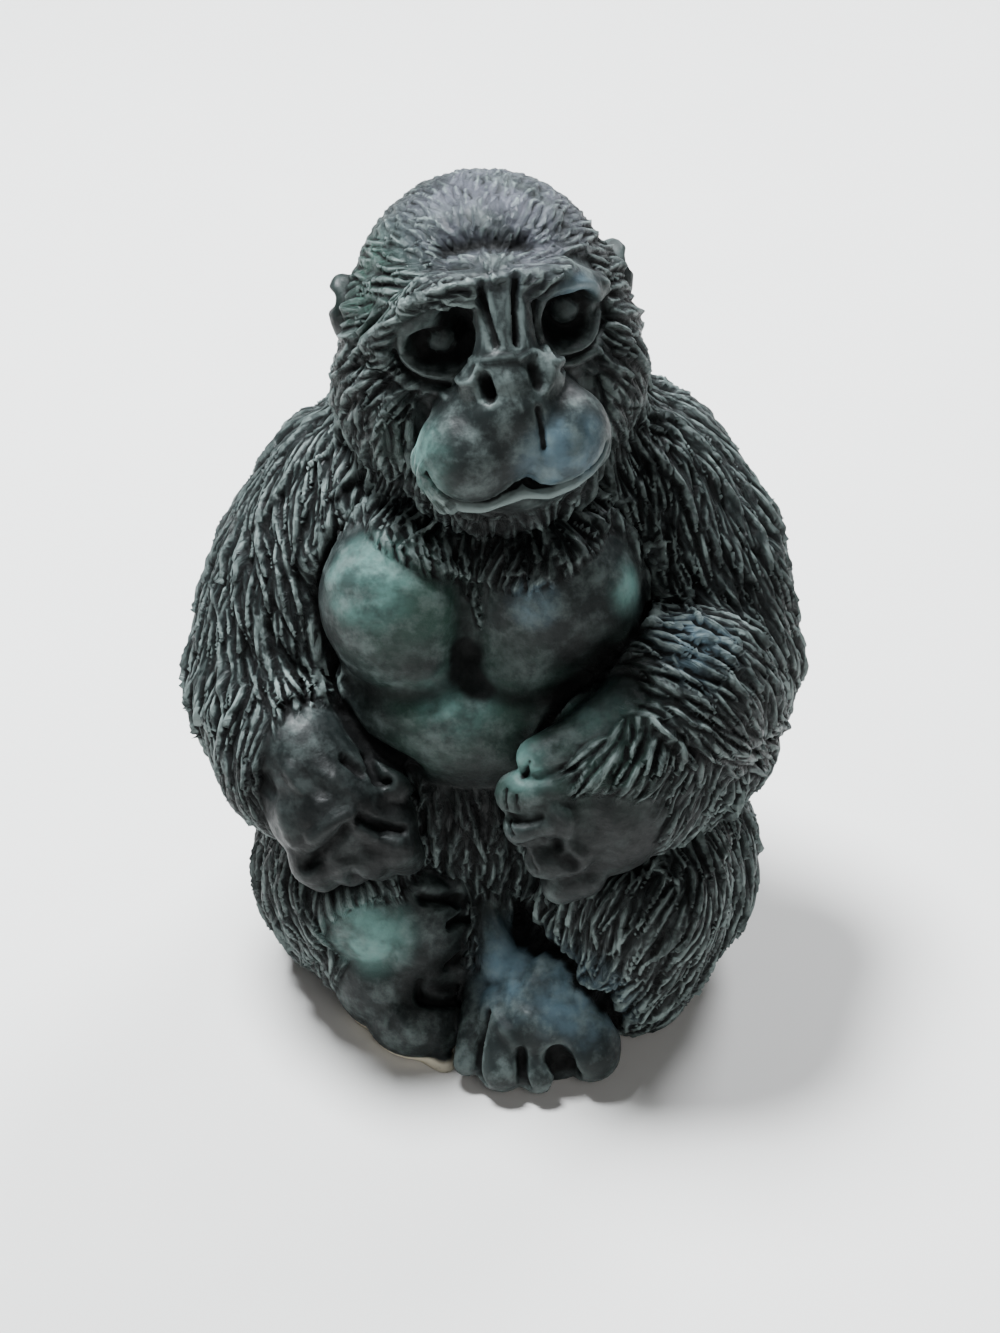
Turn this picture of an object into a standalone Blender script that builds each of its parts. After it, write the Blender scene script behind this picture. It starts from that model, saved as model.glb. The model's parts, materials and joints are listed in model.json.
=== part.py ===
"""A seated gorilla, hollow-eyed and shaggy, cast in one solid piece of resin.

The body is built up as clay would be: round masses on named landmarks, fused and smoothed, then strokes
cut or raised on the skin, then clumps of fur laid over everything but the face, chest, hands and feet.
Lengths are in millimetres until the last step. +X is the gorilla's left, -Y its front, +Z up.
"""
import math
import random

import bmesh
import bpy
import numpy as np
from mathutils import Euler, Matrix, Vector
from mathutils.bvhtree import BVHTree
from mathutils.kdtree import KDTree

MM = 0.001

# The whole figure: the clay is brought to this size at the end
FIGURE_WIDTH, FIGURE_DEPTH, FIGURE_HEIGHT = 55.4, 48.5, 78.1

# Head: its centre, how it is turned, and the skull's half-sizes
HEAD_CENTRE = (-0.6, 6.2, 66.8)
HEAD_YAW, HEAD_PITCH, HEAD_ROLL = 9.5, -12.0, -2.5
SKULL = (10.4, 10.8, 9.8)
MUZZLE_LOBE = (4.6, 4.2, 4.4)
EAR = (1.4, 2.4, 3.3)

# The lower lip and the line of the mouth, from the gorilla's right to its left, seen from before the face
LIP = [(-6.5, -10.3, -11.2), (-4.8, -11.9, -12.3), (-3.2, -12.5, -12.4), (-1.4, -12.9, -11.8),
       (0.3, -13.1, -11.3), (2.2, -13.1, -11.7), (4.2, -13.0, -11.2), (5.8, -12.5, -10.4), (7.2, -11.3, -9.2)]
LIP_RADIUS = 0.55
MOUTH = [(-7.4, -8.9), (-6.6, -10.4), (-4.8, -11.6), (-2.8, -11.7), (-1.0, -10.9), (0.3, -10.4),
         (0.9, -10.8), (2.6, -11.0), (4.6, -10.4), (6.5, -9.3), (7.2, -8.2)]

# Landmarks of the trunk and limbs, each with the radius of flesh around it
NECK = (-0.2, 8.5, 58.0)
NAPE = (-0.2, 11.0, 50.0)
RIGHT_SHOULDER, LEFT_SHOULDER = (-10.8, 8.5, 44.5), (11.6, 9.0, 45.8)
RIGHT_UPPER_ARM, LEFT_UPPER_ARM = (-16.2, 6.0, 38.0), (16.8, 6.5, 39.5)
RIGHT_ELBOW, LEFT_ELBOW = (-19.6, 2.5, 30.5), (19.6, 2.5, 31.5)
RIGHT_FOREARM, LEFT_FOREARM = (-17.2, -5.0, 27.0), (15.6, -6.5, 35.0)
RIGHT_WRIST, LEFT_WRIST = (-15.0, -8.6, 25.5), (9.5, -12.4, 32.5)
RIGHT_HIP, LEFT_HIP = (-11.0, -2.0, 13.0), (12.0, -2.0, 13.0)
RIGHT_KNEE, LEFT_KNEE = (-13.0, -6.8, 14.0), (13.6, -10.6, 16.0)
RIGHT_ANKLE, LEFT_ANKLE = (-10.8, -8.4, 6.5), (6.0, -9.6, 9.5)
SHOULDER_RADIUS, ELBOW_RADIUS, WRIST_RADIUS = 9.6, 7.6, 5.4
HIP_RADIUS, KNEE_RADIUS, ANKLE_RADIUS = 10.0, 7.4, 4.0

# Fineness of the clay and of the finished casting, and the narrowest stroke that it shows
BLOCK_VOXEL, CLAY_VOXEL, CAST_VOXEL = 0.7, 0.42, 0.42
BLOCK_SMOOTHING = 10.8
CLAY_SMOOTHING = 0.42
CAST_TRIANGLES = 11800
FINEST_STROKE = 0.75

# Fur: the spacing, length, half-width and height of one clump
CLUMP = (2.2, 9.0, 1.5, 1.0)
CREASE_DEPTH, CREASE_WIDTH = 1.1, 0.9
BEARD_END = 49.0

# Skin without fur, and ellipses of bare skin on the face: centres and half-sizes, seen from in front of it
SMOOTH_SKIN = ("chest", "belly", "right_hand", "left_hand", "right_foot", "left_foot", "ear")
BARE_FACE = (
    ((0.1, -7.2), (8.0, 6.2)),
    ((0.1, 0.8), (3.4, 6.6)),
    ((-5.0, 0.9), (4.1, 4.7)),
    ((5.8, 1.2), (3.8, 4.7)),
    ((0.0, -11.6), (5.6, 2.6)),
)

# The way the fur lies on each part
LIE = {
    "right_arm": (0.30, -0.2, -1.0),
    "right_forearm": (0.18, -0.2, -1.0),
    "left_arm": (0.10, 0.0, -1.0),
    "left_forearm": (-0.55, -0.2, -0.8),
    "right_thigh": (0.25, -0.3, -1.0),
    "left_thigh": (-0.40, -0.3, -1.0),
    "left_shin": (-0.40, -0.3, -1.0),
}

TABLE_BLOCK = 200



def head_frame():
    yaw, pitch, roll = (math.radians(angle) for angle in (HEAD_YAW, HEAD_PITCH, HEAD_ROLL))
    turned = Matrix.Rotation(yaw, 4, "Z") @ Matrix.Rotation(pitch, 4, "X") @ Matrix.Rotation(roll, 4, "Y")
    return Matrix.Translation(HEAD_CENTRE) @ turned


class Ball:
    """An ellipsoid of clay."""

    def __init__(self, part, centre, radii, turn=(0, 0, 0), frame=None):
        self.part = part
        turned = Euler([math.radians(angle) for angle in turn]).to_matrix().to_4x4()
        self.place = (frame or Matrix()) @ Matrix.Translation(centre) @ turned
        self.radii = radii if hasattr(radii, "__len__") else (radii,) * 3

    def add_to(self, clay):
        place = self.place @ Matrix.Diagonal((*self.radii, 1))
        bmesh.ops.create_icosphere(clay, subdivisions=4, radius=1.0, matrix=place)

    def distance(self, points):
        local = transformed(points, self.place.inverted()) / self.radii
        size = np.linalg.norm(local, axis=1)
        return (size - 1) * min(self.radii)


class Limb:
    """A tapered round bar of clay between two landmarks."""

    def __init__(self, part, start, start_radius, end, end_radius, frame=None):
        self.part = part
        frame = frame or Matrix()
        self.start, self.end = frame @ Vector(start), frame @ Vector(end)
        self.radii = (start_radius, end_radius)

    def add_to(self, clay):
        shell = bmesh.new()
        for centre, radius in zip((self.start, self.end), self.radii):
            place = Matrix.Translation(centre)
            bmesh.ops.create_icosphere(shell, subdivisions=3, radius=radius, matrix=place)
        bmesh.ops.delete(shell, geom=list(shell.edges), context="EDGES_FACES")
        hull = bmesh.ops.convex_hull(shell, input=list(shell.verts))
        within = set(hull["geom_interior"] + hull["geom_unused"])
        inner = [item for item in within if isinstance(item, bmesh.types.BMVert)]
        bmesh.ops.delete(shell, geom=inner, context="VERTS")
        mesh = mesh_from(shell)
        clay.from_mesh(mesh)
        bpy.data.meshes.remove(mesh)

    def distance(self, points):
        start, way = np.array(self.start), np.array(self.end - self.start)
        share = np.clip((points - start) @ way / (way @ way), 0, 1)
        gap = np.linalg.norm(points - start - share[:, None] * way, axis=1)
        return gap - (self.radii[0] + share * (self.radii[1] - self.radii[0]))


def transformed(points, matrix):
    matrix = np.array(matrix)
    return points @ matrix[:3, :3].T + matrix[:3, 3]


def mesh_from(clay):
    mesh = bpy.data.meshes.new("clay")
    clay.to_mesh(mesh)
    clay.free()
    return mesh


def between(a, b, share):
    return Vector(a).lerp(Vector(b), share)


def trunk_masses():
    yield Ball("rump", (0.8, 7.5, 13.0), (20.4, 17.0, 16.5))
    yield Ball("rump", (0.8, 4.5, 4.0), (20.5, 17.5, 9.0))
    yield Ball("trunk", (0, 6.5, 30), (19.5, 15.5, 18))
    yield Ball("trunk", (0, 8.6, 23), (19.2, 15.4, 12))
    yield Ball("trunk", (0, 8.0, 42), (18.5, 14.5, 15))
    yield Ball("trunk", (0, 12.5, 45), (14.5, 11.5, 14))
    yield Ball("trunk", (-0.5, -1.5, 21), (11, 8.5, 11))
    yield Ball("trunk", (-2.0, -4.5, 6), (9, 8.5, 9))
    yield Ball("trunk", (-1.5, -9.5, 2.5), (5.0, 6.0, 5.0))
    yield Limb("neck", NAPE, 13.0, NECK, 12.6)
    yield Limb("neck", NECK, 12.6, HEAD_CENTRE, 10.6)


def leg_masses():
    yield Ball("right_thigh", (-11.8, -1.5, 11.0), (9.8, 11.0, 11.5))
    yield Ball("left_thigh", (12.8, -1.5, 11), (11.4, 12.0, 12.0))
    yield Limb("right_thigh", RIGHT_HIP, HIP_RADIUS, RIGHT_KNEE, KNEE_RADIUS)
    yield Limb("left_thigh", LEFT_HIP, HIP_RADIUS, LEFT_KNEE, KNEE_RADIUS)
    yield Limb("right_shin", RIGHT_KNEE, 6.6, RIGHT_ANKLE, 5.4)
    yield Limb("left_shin", LEFT_KNEE, KNEE_RADIUS, (12.0, -10.4, 7.0), 6.8)
    yield Limb("left_shin", LEFT_KNEE, 6.6, LEFT_ANKLE, ANKLE_RADIUS)


def arm_masses():
    yield Limb("right_arm", RIGHT_SHOULDER, SHOULDER_RADIUS, RIGHT_UPPER_ARM, 8.8)
    yield Limb("right_arm", RIGHT_UPPER_ARM, 8.8, RIGHT_ELBOW, ELBOW_RADIUS)
    yield Limb("right_forearm", RIGHT_ELBOW, ELBOW_RADIUS, RIGHT_FOREARM, 6.9)
    yield Limb("right_forearm", RIGHT_FOREARM, 6.9, RIGHT_WRIST, WRIST_RADIUS)
    yield Limb("left_arm", LEFT_SHOULDER, SHOULDER_RADIUS, LEFT_UPPER_ARM, 9.0)
    yield Limb("left_arm", LEFT_UPPER_ARM, 9.0, LEFT_ELBOW, ELBOW_RADIUS)
    yield Limb("left_forearm", LEFT_ELBOW, ELBOW_RADIUS, LEFT_FOREARM, ELBOW_RADIUS)
    yield Limb("left_forearm", LEFT_FOREARM, ELBOW_RADIUS, LEFT_WRIST, WRIST_RADIUS)
    yield Limb("left_forearm", (18.6, -1.5, 27.0), 6.9, (12.0, -11.5, 28.5), WRIST_RADIUS)


def head_masses():
    frame = head_frame()
    yield Ball("head", (0, 0.4, 1.0), SKULL, frame=frame)
    yield Ball("face", (0, -5.0, -1.6), (9.0, 5.0, 6.2), frame=frame)
    yield Ball("face", (0, -9.6, -6.6), (6.6, 5.0, 5.2), frame=frame)
    yield Ball("face", (0, -8.4, -11.4), (6.0, 4.3, 3.2), frame=frame)
    yield Ball("head", (0, -4.0, -11.5), (7.8, 6.6, 6.4), frame=frame)
    yield Limb("face", (0, -8.2, 4.6), 2.6, (0, -9.8, 1.4), 2.6, frame)
    yield Limb("face", (0, -9.8, 1.4), 2.6, (-0.1, -10.6, -1.6), 3.0, frame)
    yield Ball("face", (-3.3, -11.0, -7.9), (4.6, 4.2, 4.6), frame=frame)
    yield Ball("face", (3.4, -11.1, -7.5), MUZZLE_LOBE, frame=frame)
    # the nose: a broad pad that runs into the muzzle, a little wider at its two wings
    yield Ball("face", (-0.2, -11.0, -2.2), (4.0, 2.8, 2.6), frame=frame)
    yield Ball("face", (-2.5, -11.2, -2.2), (1.9, 2.2, 2.3), frame=frame)
    yield Ball("face", (2.3, -11.3, -1.9), (1.8, 2.1, 2.2), frame=frame)
    yield Ball("face", (0.0, -11.4, -4.9), (4.4, 3.2, 3.6), frame=frame)
    for side in (-1, 1):
        yield Ball("head", (7.0 * side, 0.0, -5.5), (5.4, 7.5, 8.5), frame=frame)
        yield Ball("head", (7.9 * side, 0.8, -1.6), (4.1, 6.0, 6.4), frame=frame)
        yield Ball("ear", (11.2 * side, 2.0, -0.4), EAR, (0, 8 * side, 24 * side), frame)
        yield Limb("face", (8.2 * side, -5.6, 2.4), 1.3, (5.2 * side, -8.6, 4.7), 1.5, frame)
        yield Limb("face", (5.2 * side, -8.6, 4.7), 1.5, (1.2 * side, -9.4, 5.0), 1.4, frame)
    for start, end in zip(LIP, LIP[1:]):
        yield Limb("face", start, LIP_RADIUS, end, LIP_RADIUS, frame)


def chest_masses():
    yield Ball("chest", (-7.9, -3.8, 43.2), (7.0, 5.8, 8.2), (-6, 0, 0))
    yield Ball("chest", (5.6, -3.8, 43.8), (7.3, 5.8, 8.2), (-6, 0, 0))
    yield Ball("belly", (-1.0, -3.2, 33.0), (12.0, 8.4, 9.0))


def hand_masses():
    yield Ball("right_hand", (-14.2, -9.6, 25.6), (6.2, 5.6, 5.8))
    yield Ball("right_hand", (-16.4, -6.6, 30.2), (4.6, 3.8, 5.6))
    first, last = (-16.0, -12.2, 23.8), (-8.8, -11.4, 25.4)
    for finger in range(4):
        knuckle = between(first, last, finger / 3)
        bend = knuckle + Vector((0.4, -1.8, -2.0))
        tip = knuckle + Vector((1.2, -0.6, -4.8))
        yield Limb("right_hand", knuckle, 2.1, bend, 2.0)
        yield Limb("right_hand", bend, 2.0, tip, 1.6)
    yield Limb("right_hand", (-12.6, -8.6, 29.0), 2.2, (-8.6, -10.2, 28.6), 1.9)

    yield Ball("left_hand", (9.4, -13.4, 28.8), (6.4, 5.0, 7.4))
    yield Limb("left_hand", (12.0, -10.4, 38.2), 2.6, (7.6, -13.0, 35.0), 2.8)
    yield Limb("left_hand", (7.6, -13.0, 35.0), 2.8, (4.2, -14.4, 33.8), 2.1)
    yield Limb("left_hand", (4.2, -14.4, 33.8), 2.1, (2.4, -14.4, 33.0), 1.6)
    knuckles = ((6.0, -16.4, 30.6), (6.6, -16.8, 27.6), (7.0, -16.8, 24.9), (7.6, -16.2, 22.6))
    tips = ((1.6, -16.6, 29.2), (3.0, -17.2, 26.4), (4.0, -17.4, 23.9), (5.0, -16.8, 21.8))
    for knuckle, tip, radius in zip(knuckles, tips, (2.1, 2.1, 1.9, 1.7)):
        yield Limb("left_hand", knuckle, radius, tip, radius - 0.3)


def foot_masses():
    yield Ball("right_foot", (-9.6, -9.4, 5.2), (5.6, 6.2, 7.0))
    yield Ball("right_foot", (-10.6, -9.6, 12.0), (4.4, 4.8, 5.6))
    yield Ball("right_foot", (-6.8, -12.6, 2.6), (5.2, 5.4, 4.4))
    stacked = ((-7.4, 14.4, 3.9), (-9.6, 11.0, 3.6), (-11.2, 7.8, 3.4), (-12.8, 4.6, 3.0))
    for toe, (out, up, reach) in enumerate(stacked):
        root = Vector((-6.6, out, up))
        yield Limb("right_foot", root, 2.3 - 0.1 * toe, root + Vector((reach, -0.4, -0.4)), 2.0 - 0.1 * toe)
    yield Limb("left_foot", (5.0, -10.2, 9.0), 3.8, (4.6, -14.6, 6.2), 4.4)
    yield Ball("left_foot", (5.4, -14.8, 3.4), (5.6, 5.8, 5.4))
    yield Limb("left_foot", (1.4, -12.6, 8.0), 2.6, (-0.1, -9.4, 12.6), 1.6)
    yield Limb("left_foot", (1.4, -12.6, 8.0), 2.6, (6.6, -13.6, 8.2), 3.0)
    for root, root_radius, tip, tip_radius in (
        ((-1.0, -13.6, 6.4), 1.5, (-2.5, -19.8, 2.4), 1.3),
        ((1.2, -15.8, 6.6), 2.3, (1.0, -20.8, 2.6), 2.0),
        ((4.0, -17.0, 6.0), 2.1, (4.4, -21.6, 2.4), 1.7),
        ((8.6, -15.4, 6.6), 3.2, (9.4, -19.4, 3.0), 2.4),
    ):
        yield Limb("left_foot", root, root_radius, tip, tip_radius)


def block_masses():
    return [*trunk_masses(), *chest_masses(), *leg_masses(), *arm_masses()]


def form_masses():
    return [*head_masses(), *hand_masses(), *foot_masses()]


def fused(meshes, masses, voxel):
    """One closed skin around everything given."""
    clay = bmesh.new()
    for mesh in meshes:
        clay.from_mesh(mesh)
    for mass in masses:
        mass.add_to(clay)
    lump = bpy.data.objects.new("lump", mesh_from(clay))
    bpy.context.scene.collection.objects.link(lump)
    skin = lump.modifiers.new("skin", "REMESH")
    skin.mode = "VOXEL"
    skin.voxel_size = voxel
    evaluated = lump.evaluated_get(bpy.context.evaluated_depsgraph_get())
    made = bpy.data.meshes.new_from_object(evaluated)
    bpy.data.objects.remove(lump)
    return made


def read(collection, attribute, width):
    values = np.empty(len(collection) * width, np.float32)
    collection.foreach_get(attribute, values)
    return values.reshape(-1, width).astype(float)


def points_of(mesh):
    return read(mesh.vertices, "co", 3)


def normals_of(mesh):
    return read(mesh.vertices, "normal", 3)


def edges_of(mesh):
    ends = np.empty(len(mesh.edges) * 2, np.int32)
    mesh.edges.foreach_get("vertices", ends)
    return ends.reshape(-1, 2)


def put_points(mesh, points):
    mesh.vertices.foreach_set("co", points.astype(np.float32).ravel())
    mesh.update()


def averaged(values, ends):
    """Each vertex's mean over its neighbours."""
    count = len(values)
    columns = values.reshape(count, -1)
    degree = np.maximum(np.bincount(ends.ravel(), minlength=count), 1)
    total = np.empty_like(columns)
    for k in range(columns.shape[1]):
        total[:, k] = np.bincount(ends[:, 0], columns[ends[:, 1], k], count)
        total[:, k] += np.bincount(ends[:, 1], columns[ends[:, 0], k], count)
    return (total / degree[:, None]).reshape(values.shape)


def smoothed(values, ends, rounds, keep=0.0):
    """Keep above 0 pushes back out after each round, so that a shape loses little volume."""
    for _ in range(rounds):
        values = values + 0.5 * (averaged(values, ends) - values)
        if keep:
            values = values - 0.5 * keep * (averaged(values, ends) - values)
    return values


def modelled_clay(block_voxel, clay_voxel):
    """The whole figure before any stroke: soft big masses, then crisper forms fused onto them."""
    block = fused([], block_masses(), block_voxel)
    put_points(block, smoothed(points_of(block), edges_of(block), round(BLOCK_SMOOTHING / block_voxel**2)))
    clay = fused([block], form_masses(), clay_voxel)
    rounds = round(CLAY_SMOOTHING / clay_voxel**2)
    put_points(clay, smoothed(points_of(clay), edges_of(clay), rounds, keep=0.5))
    return clay


def part_distances(points):
    """For each named part, every point's distance from its clay."""
    found = {}
    for mass in block_masses() + form_masses():
        gap = mass.distance(points)
        found[mass.part] = np.minimum(found[mass.part], gap) if mass.part in found else gap
    return found


class Knife:
    """Strokes that cut or raise the skin along a drawn line."""

    def __init__(self, mesh):
        self.points = points_of(mesh)
        self.normals = normals_of(mesh)
        self.lift = np.zeros(len(self.points))
        self.balls = []
        polygons = [tuple(polygon.vertices) for polygon in mesh.polygons]
        self.tree = BVHTree.FromPolygons([Vector(point) for point in self.points], polygons)
        self.frame = head_frame()
        # Each point moves along a softened normal, so that a deep cut stays open
        ends = edges_of(mesh)
        self.way = smoothed(self.normals, ends, round(0.5 / CLAY_VOXEL**2))
        self.way /= np.linalg.norm(self.way, axis=1)[:, None]

    def on_face(self, x, z):
        """The skin under a point drawn on the face, as seen from straight in front of it."""
        start = self.frame @ Vector((x, -30, z))
        way = self.frame.to_3x3() @ Vector((0, 1, 0))
        return self.tree.ray_cast(start, way)[0] or start

    def on_skin(self, place):
        return self.tree.find_nearest(Vector(place))[0]

    def line(self, path):
        """A drawn line, rounded through its points and laid on the skin."""
        found = []
        for first, second, third, fourth in zip([path[0], *path], path, path[1:], [*path[2:], path[-1]]):
            for step in range(4):
                found.append(rounded(first, second, third, fourth, step / 4))
        found.append(Vector(path[-1]))
        lay = self.on_skin if len(path[0]) == 3 else lambda point: self.on_face(*point)
        return [lay(point) for point in found]

    def stroke(self, path, width, depth, sharp=1.0):
        """Cuts a line depth deep, or raises it where depth is negative. Width is to where it fades out."""
        width = max(width, FINEST_STROKE)
        line = self.line(path)
        low = np.min(line, axis=0) - width
        high = np.max(line, axis=0) + width
        near = np.nonzero(((self.points > low) & (self.points < high)).all(axis=1))[0]
        gap = distance_to_line(self.points[near], line)
        fade = np.clip(1 - (gap / width) ** 2, 0, 1) ** (1 + sharp)
        self.lift[near] -= depth * fade

    def eyeball(self, place, radius, sunk):
        """A round eye whose front lies sunk below the skin that was there."""
        skin = self.frame.inverted() @ self.on_face(*place)
        self.balls.append((skin + Vector((0, sunk + radius, 0)), radius))

    def shaped(self):
        """Every point where the strokes leave it, with the eyeballs set in, and which points are on them."""
        local = transformed(self.points + self.lift[:, None] * self.way, self.frame.inverted())
        on_ball = np.zeros(len(local), bool)
        for centre, radius in self.balls:
            away = local - np.array(centre)
            beside = np.hypot(away[:, 0], away[:, 2]) / radius
            front = -radius * np.sqrt(np.clip(1 - beside**2, 0, 1))
            under = (beside < 1) & (away[:, 1] > front) & (away[:, 1] < radius)
            local[under, 1] = centre[1] + front[under]
            on_ball |= under
        return transformed(local, self.frame), on_ball


def rounded(before, start, end, after, share):
    """A point share of the way from start to end on a smooth curve through all four."""
    before, start, end, after = (Vector(point) for point in (before, start, end, after))
    a = 2 * start
    b = end - before
    c = 2 * before - 5 * start + 4 * end - after
    d = 3 * start - before - 3 * end + after
    return 0.5 * (a + b * share + c * share**2 + d * share**3)


def distance_to_line(points, line):
    best = np.full(len(points), np.inf)
    for start, end in zip(line, line[1:]):
        start, way = np.array(start), np.array(end - start)
        share = np.clip((points - start) @ way / max(way @ way, 1e-9), 0, 1)
        best = np.minimum(best, np.linalg.norm(points - start - share[:, None] * way, axis=1))
    return best


def carve_eyes(knife):
    # sockets: the right one is a dark triangle under a slanting brow, the left one is round
    knife.stroke([(-6.0, 0.2), (-4.4, 0.1), (-3.6, 1.4)], 1.9, 2.0, 0.4)
    knife.stroke([(-4.6, 1.2), (-3.4, 3.2)], 1.4, 1.5, 0.4)
    knife.stroke([(5.4, 1.2), (6.0, 1.2)], 2.6, 2.8, 0.3)
    knife.eyeball((-4.6, 0.3), 1.25, 1.25)
    knife.eyeball((5.7, 1.2), 1.4, 1.35)
    # lower lids, and the bags under them
    lid = [(-7.8, 1.0), (-7.8, -0.6), (-6.4, -1.7), (-4.6, -2.0), (-3.0, -1.3), (-2.4, -0.4)]
    knife.stroke(lid, 0.50, -0.35)
    knife.stroke([(-8.5, -0.2), (-8.0, -1.6), (-6.3, -2.6), (-4.6, -2.7)], 0.36, 0.40)
    knife.stroke([(-9.2, -0.2), (-8.7, -2.0), (-6.4, -3.3), (-5.0, -3.4)], 0.50, -0.28)
    knife.stroke([(2.9, 1.0), (3.5, -0.6), (5.2, -1.4), (7.2, -1.2), (8.4, 0.4)], 0.42, -0.32)
    knife.stroke([(4.2, -1.6), (5.2, -2.0), (7.6, -1.8), (8.8, -0.6)], 0.34, 0.36)
    knife.stroke([(4.8, -2.4), (6.0, -2.6), (8.0, -2.3)], 0.42, -0.25)
    # the upper rim of the left eye
    knife.stroke([(2.8, 2.4), (3.8, 4.0), (5.8, 4.5), (7.8, 3.5), (8.5, 1.8)], 0.6, -0.25)


def carve_brow(knife):
    knife.stroke([(-7.2, 4.2), (-5.0, 5.4), (-2.3, 5.8), (0.2, 6.0)], 0.50, -0.40)
    knife.stroke([(0.9, 6.1), (2.8, 5.9), (5.6, 5.4)], 0.8, -0.25)
    knife.stroke([(-3.8, 8.8), (-0.6, 9.3), (2.8, 8.8)], 2.6, 1.0)
    # furrows between the eyes: two long dark ones, and a short one beside the left socket
    knife.stroke([(-1.5, 5.7), (-1.5, 3.8), (-1.0, 1.3)], 0.50, 0.9, 0.2)
    knife.stroke([(1.3, 5.9), (1.1, 3.8), (0.8, 1.3)], 0.46, 0.9, 0.2)
    knife.stroke([(2.8, 3.4), (2.6, 0.9)], 0.40, 0.6, 0.3)


def carve_nose(knife):
    knife.stroke([(-2.3, -1.2), (-2.0, -2.5)], 0.75, 1.7, 0.3)
    knife.stroke([(1.9, -0.8), (2.1, -2.0)], 0.75, 0.7, 0.3)
    # the top edge, and the wings: soft on the right, a thin bright loop on the left
    knife.stroke([(-3.0, -0.3), (-1.4, 0.3), (0.2, 0.4)], 0.40, -0.20)
    knife.stroke([(0.8, 0.1), (2.1, 0.2), (3.1, -0.6), (3.2, -1.8), (2.6, -2.8)], 0.40, -0.34)
    knife.stroke([(-3.3, -0.8), (-3.7, -2.0), (-3.1, -3.2)], 0.50, -0.16)
    knife.stroke([(-0.4, -0.8), (0.0, -2.2), (0.4, -3.6)], 0.45, -0.18)


def carve_mouth(knife):
    knife.stroke(MOUTH, 0.38, 0.65, 0.3)
    knife.stroke([(1.8, -3.8), (1.9, -5.4), (1.8, -7.0)], 0.34, 0.50)
    knife.stroke([(1.8, -7.0), (1.4, -8.8), (0.8, -10.2)], 0.9, 0.25)
    # the folds beside the muzzle
    knife.stroke([(-7.8, -5.0), (-8.4, -7.4), (-8.2, -10.0)], 0.6, 0.4)
    knife.stroke([(7.7, -4.4), (8.3, -6.6), (8.1, -9.0)], 0.6, 0.4)


def carve_chest(knife):
    # the lower edges of the two breast muscles, and the valley between them
    knife.stroke([(-11.7, -6.2, 35.6), (-7.9, -9.0, 37.0), (-4.6, -9.5, 38.0), (-2.4, -8.2, 40.6)], 1.7, 0.75)
    knife.stroke([(-1.0, -9.6, 38.6), (2.4, -9.9, 37.4), (6.7, -9.2, 38.2), (10.0, -8.5, 41.6)], 1.7, 0.75)
    knife.stroke([(-2.0, -6.8, 47.0), (-1.8, -8.2, 42.0), (-1.6, -9.4, 38.4)], 1.8, 0.9)
    knife.stroke([(-12.6, -4.4, 46.0), (-8.0, -7.0, 48.0), (-4.0, -7.4, 46.0)], 1.4, -0.25)


def carve_ears(knife):
    frame = head_frame()
    for side in (-1, 1):
        rim = [frame @ Vector((11.8 * side, y, z)) for y, z in ((1.2, 1.6), (2.4, 1.0), (2.6, -1.0))]
        knife.stroke([tuple(place) for place in rim], 1.2, 1.0)


def carve_hands(knife):
    # left hand: gaps between the curled fingers, the thumb's edge and nails
    for start, end in (((6.4, -18.2, 29.2), (1.8, -17.4, 27.9)), ((7.0, -18.6, 26.3), (3.0, -18.2, 25.2)),
                       ((7.4, -18.2, 23.8), (4.0, -18.0, 22.9))):
        middle = between(start, end, 0.5) + Vector((0, -0.2, 0))
        knife.stroke([start, tuple(middle), end], 0.55, 1.1, 0.4)
    knife.stroke([(8.8, -16.8, 32.6), (5.4, -16.4, 32.0), (2.6, -15.8, 31.6)], 0.75, 1.2, 0.4)
    knife.stroke([(2.6, -15.6, 34.8), (3.4, -14.8, 35.4)], 0.30, 0.35)
    knife.stroke([(1.7, -17.8, 30.0), (2.1, -18.2, 28.8)], 0.28, 0.35)
    knife.stroke([(7.4, -18.6, 30.8), (8.2, -18.8, 27.0), (8.8, -18.2, 23.4)], 1.0, -0.35)
    # right hand: a fist seen from above, with the star-shaped hollow beside the thumb
    gaps = (((-13.4, -14.4, 24.8), (-12.6, -14.6, 19.6)), ((-11.2, -14.4, 25.2), (-10.4, -14.4, 20.2)))
    for start, end in gaps:
        middle = between(start, end, 0.5) + Vector((0, -1.0, 0))
        knife.stroke([start, tuple(middle), end], 0.55, 0.7, 0.4)
    knife.stroke([(-12.4, -9.6, 29.9), (-10.9, -10.2, 29.6), (-9.6, -10.6, 28.8)], 0.65, 1.5, 0.3)
    knife.stroke([(-11.4, -9.2, 30.6), (-10.9, -11.0, 28.6)], 0.5, 1.2, 0.3)
    knuckles = [(-17.4, -13.2, 25.0), (-14.6, -14.8, 24.0), (-11.4, -14.8, 24.6), (-8.4, -13.8, 25.6)]
    knife.stroke(knuckles, 0.8, 0.6)
    knife.stroke([(-16.0, -13.6, 26.6), (-13.4, -14.2, 26.6)], 0.9, 0.35)
    knife.stroke([(-18.4, -11.6, 26.4), (-16.4, -13.4, 27.2)], 0.9, -0.35)


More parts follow.
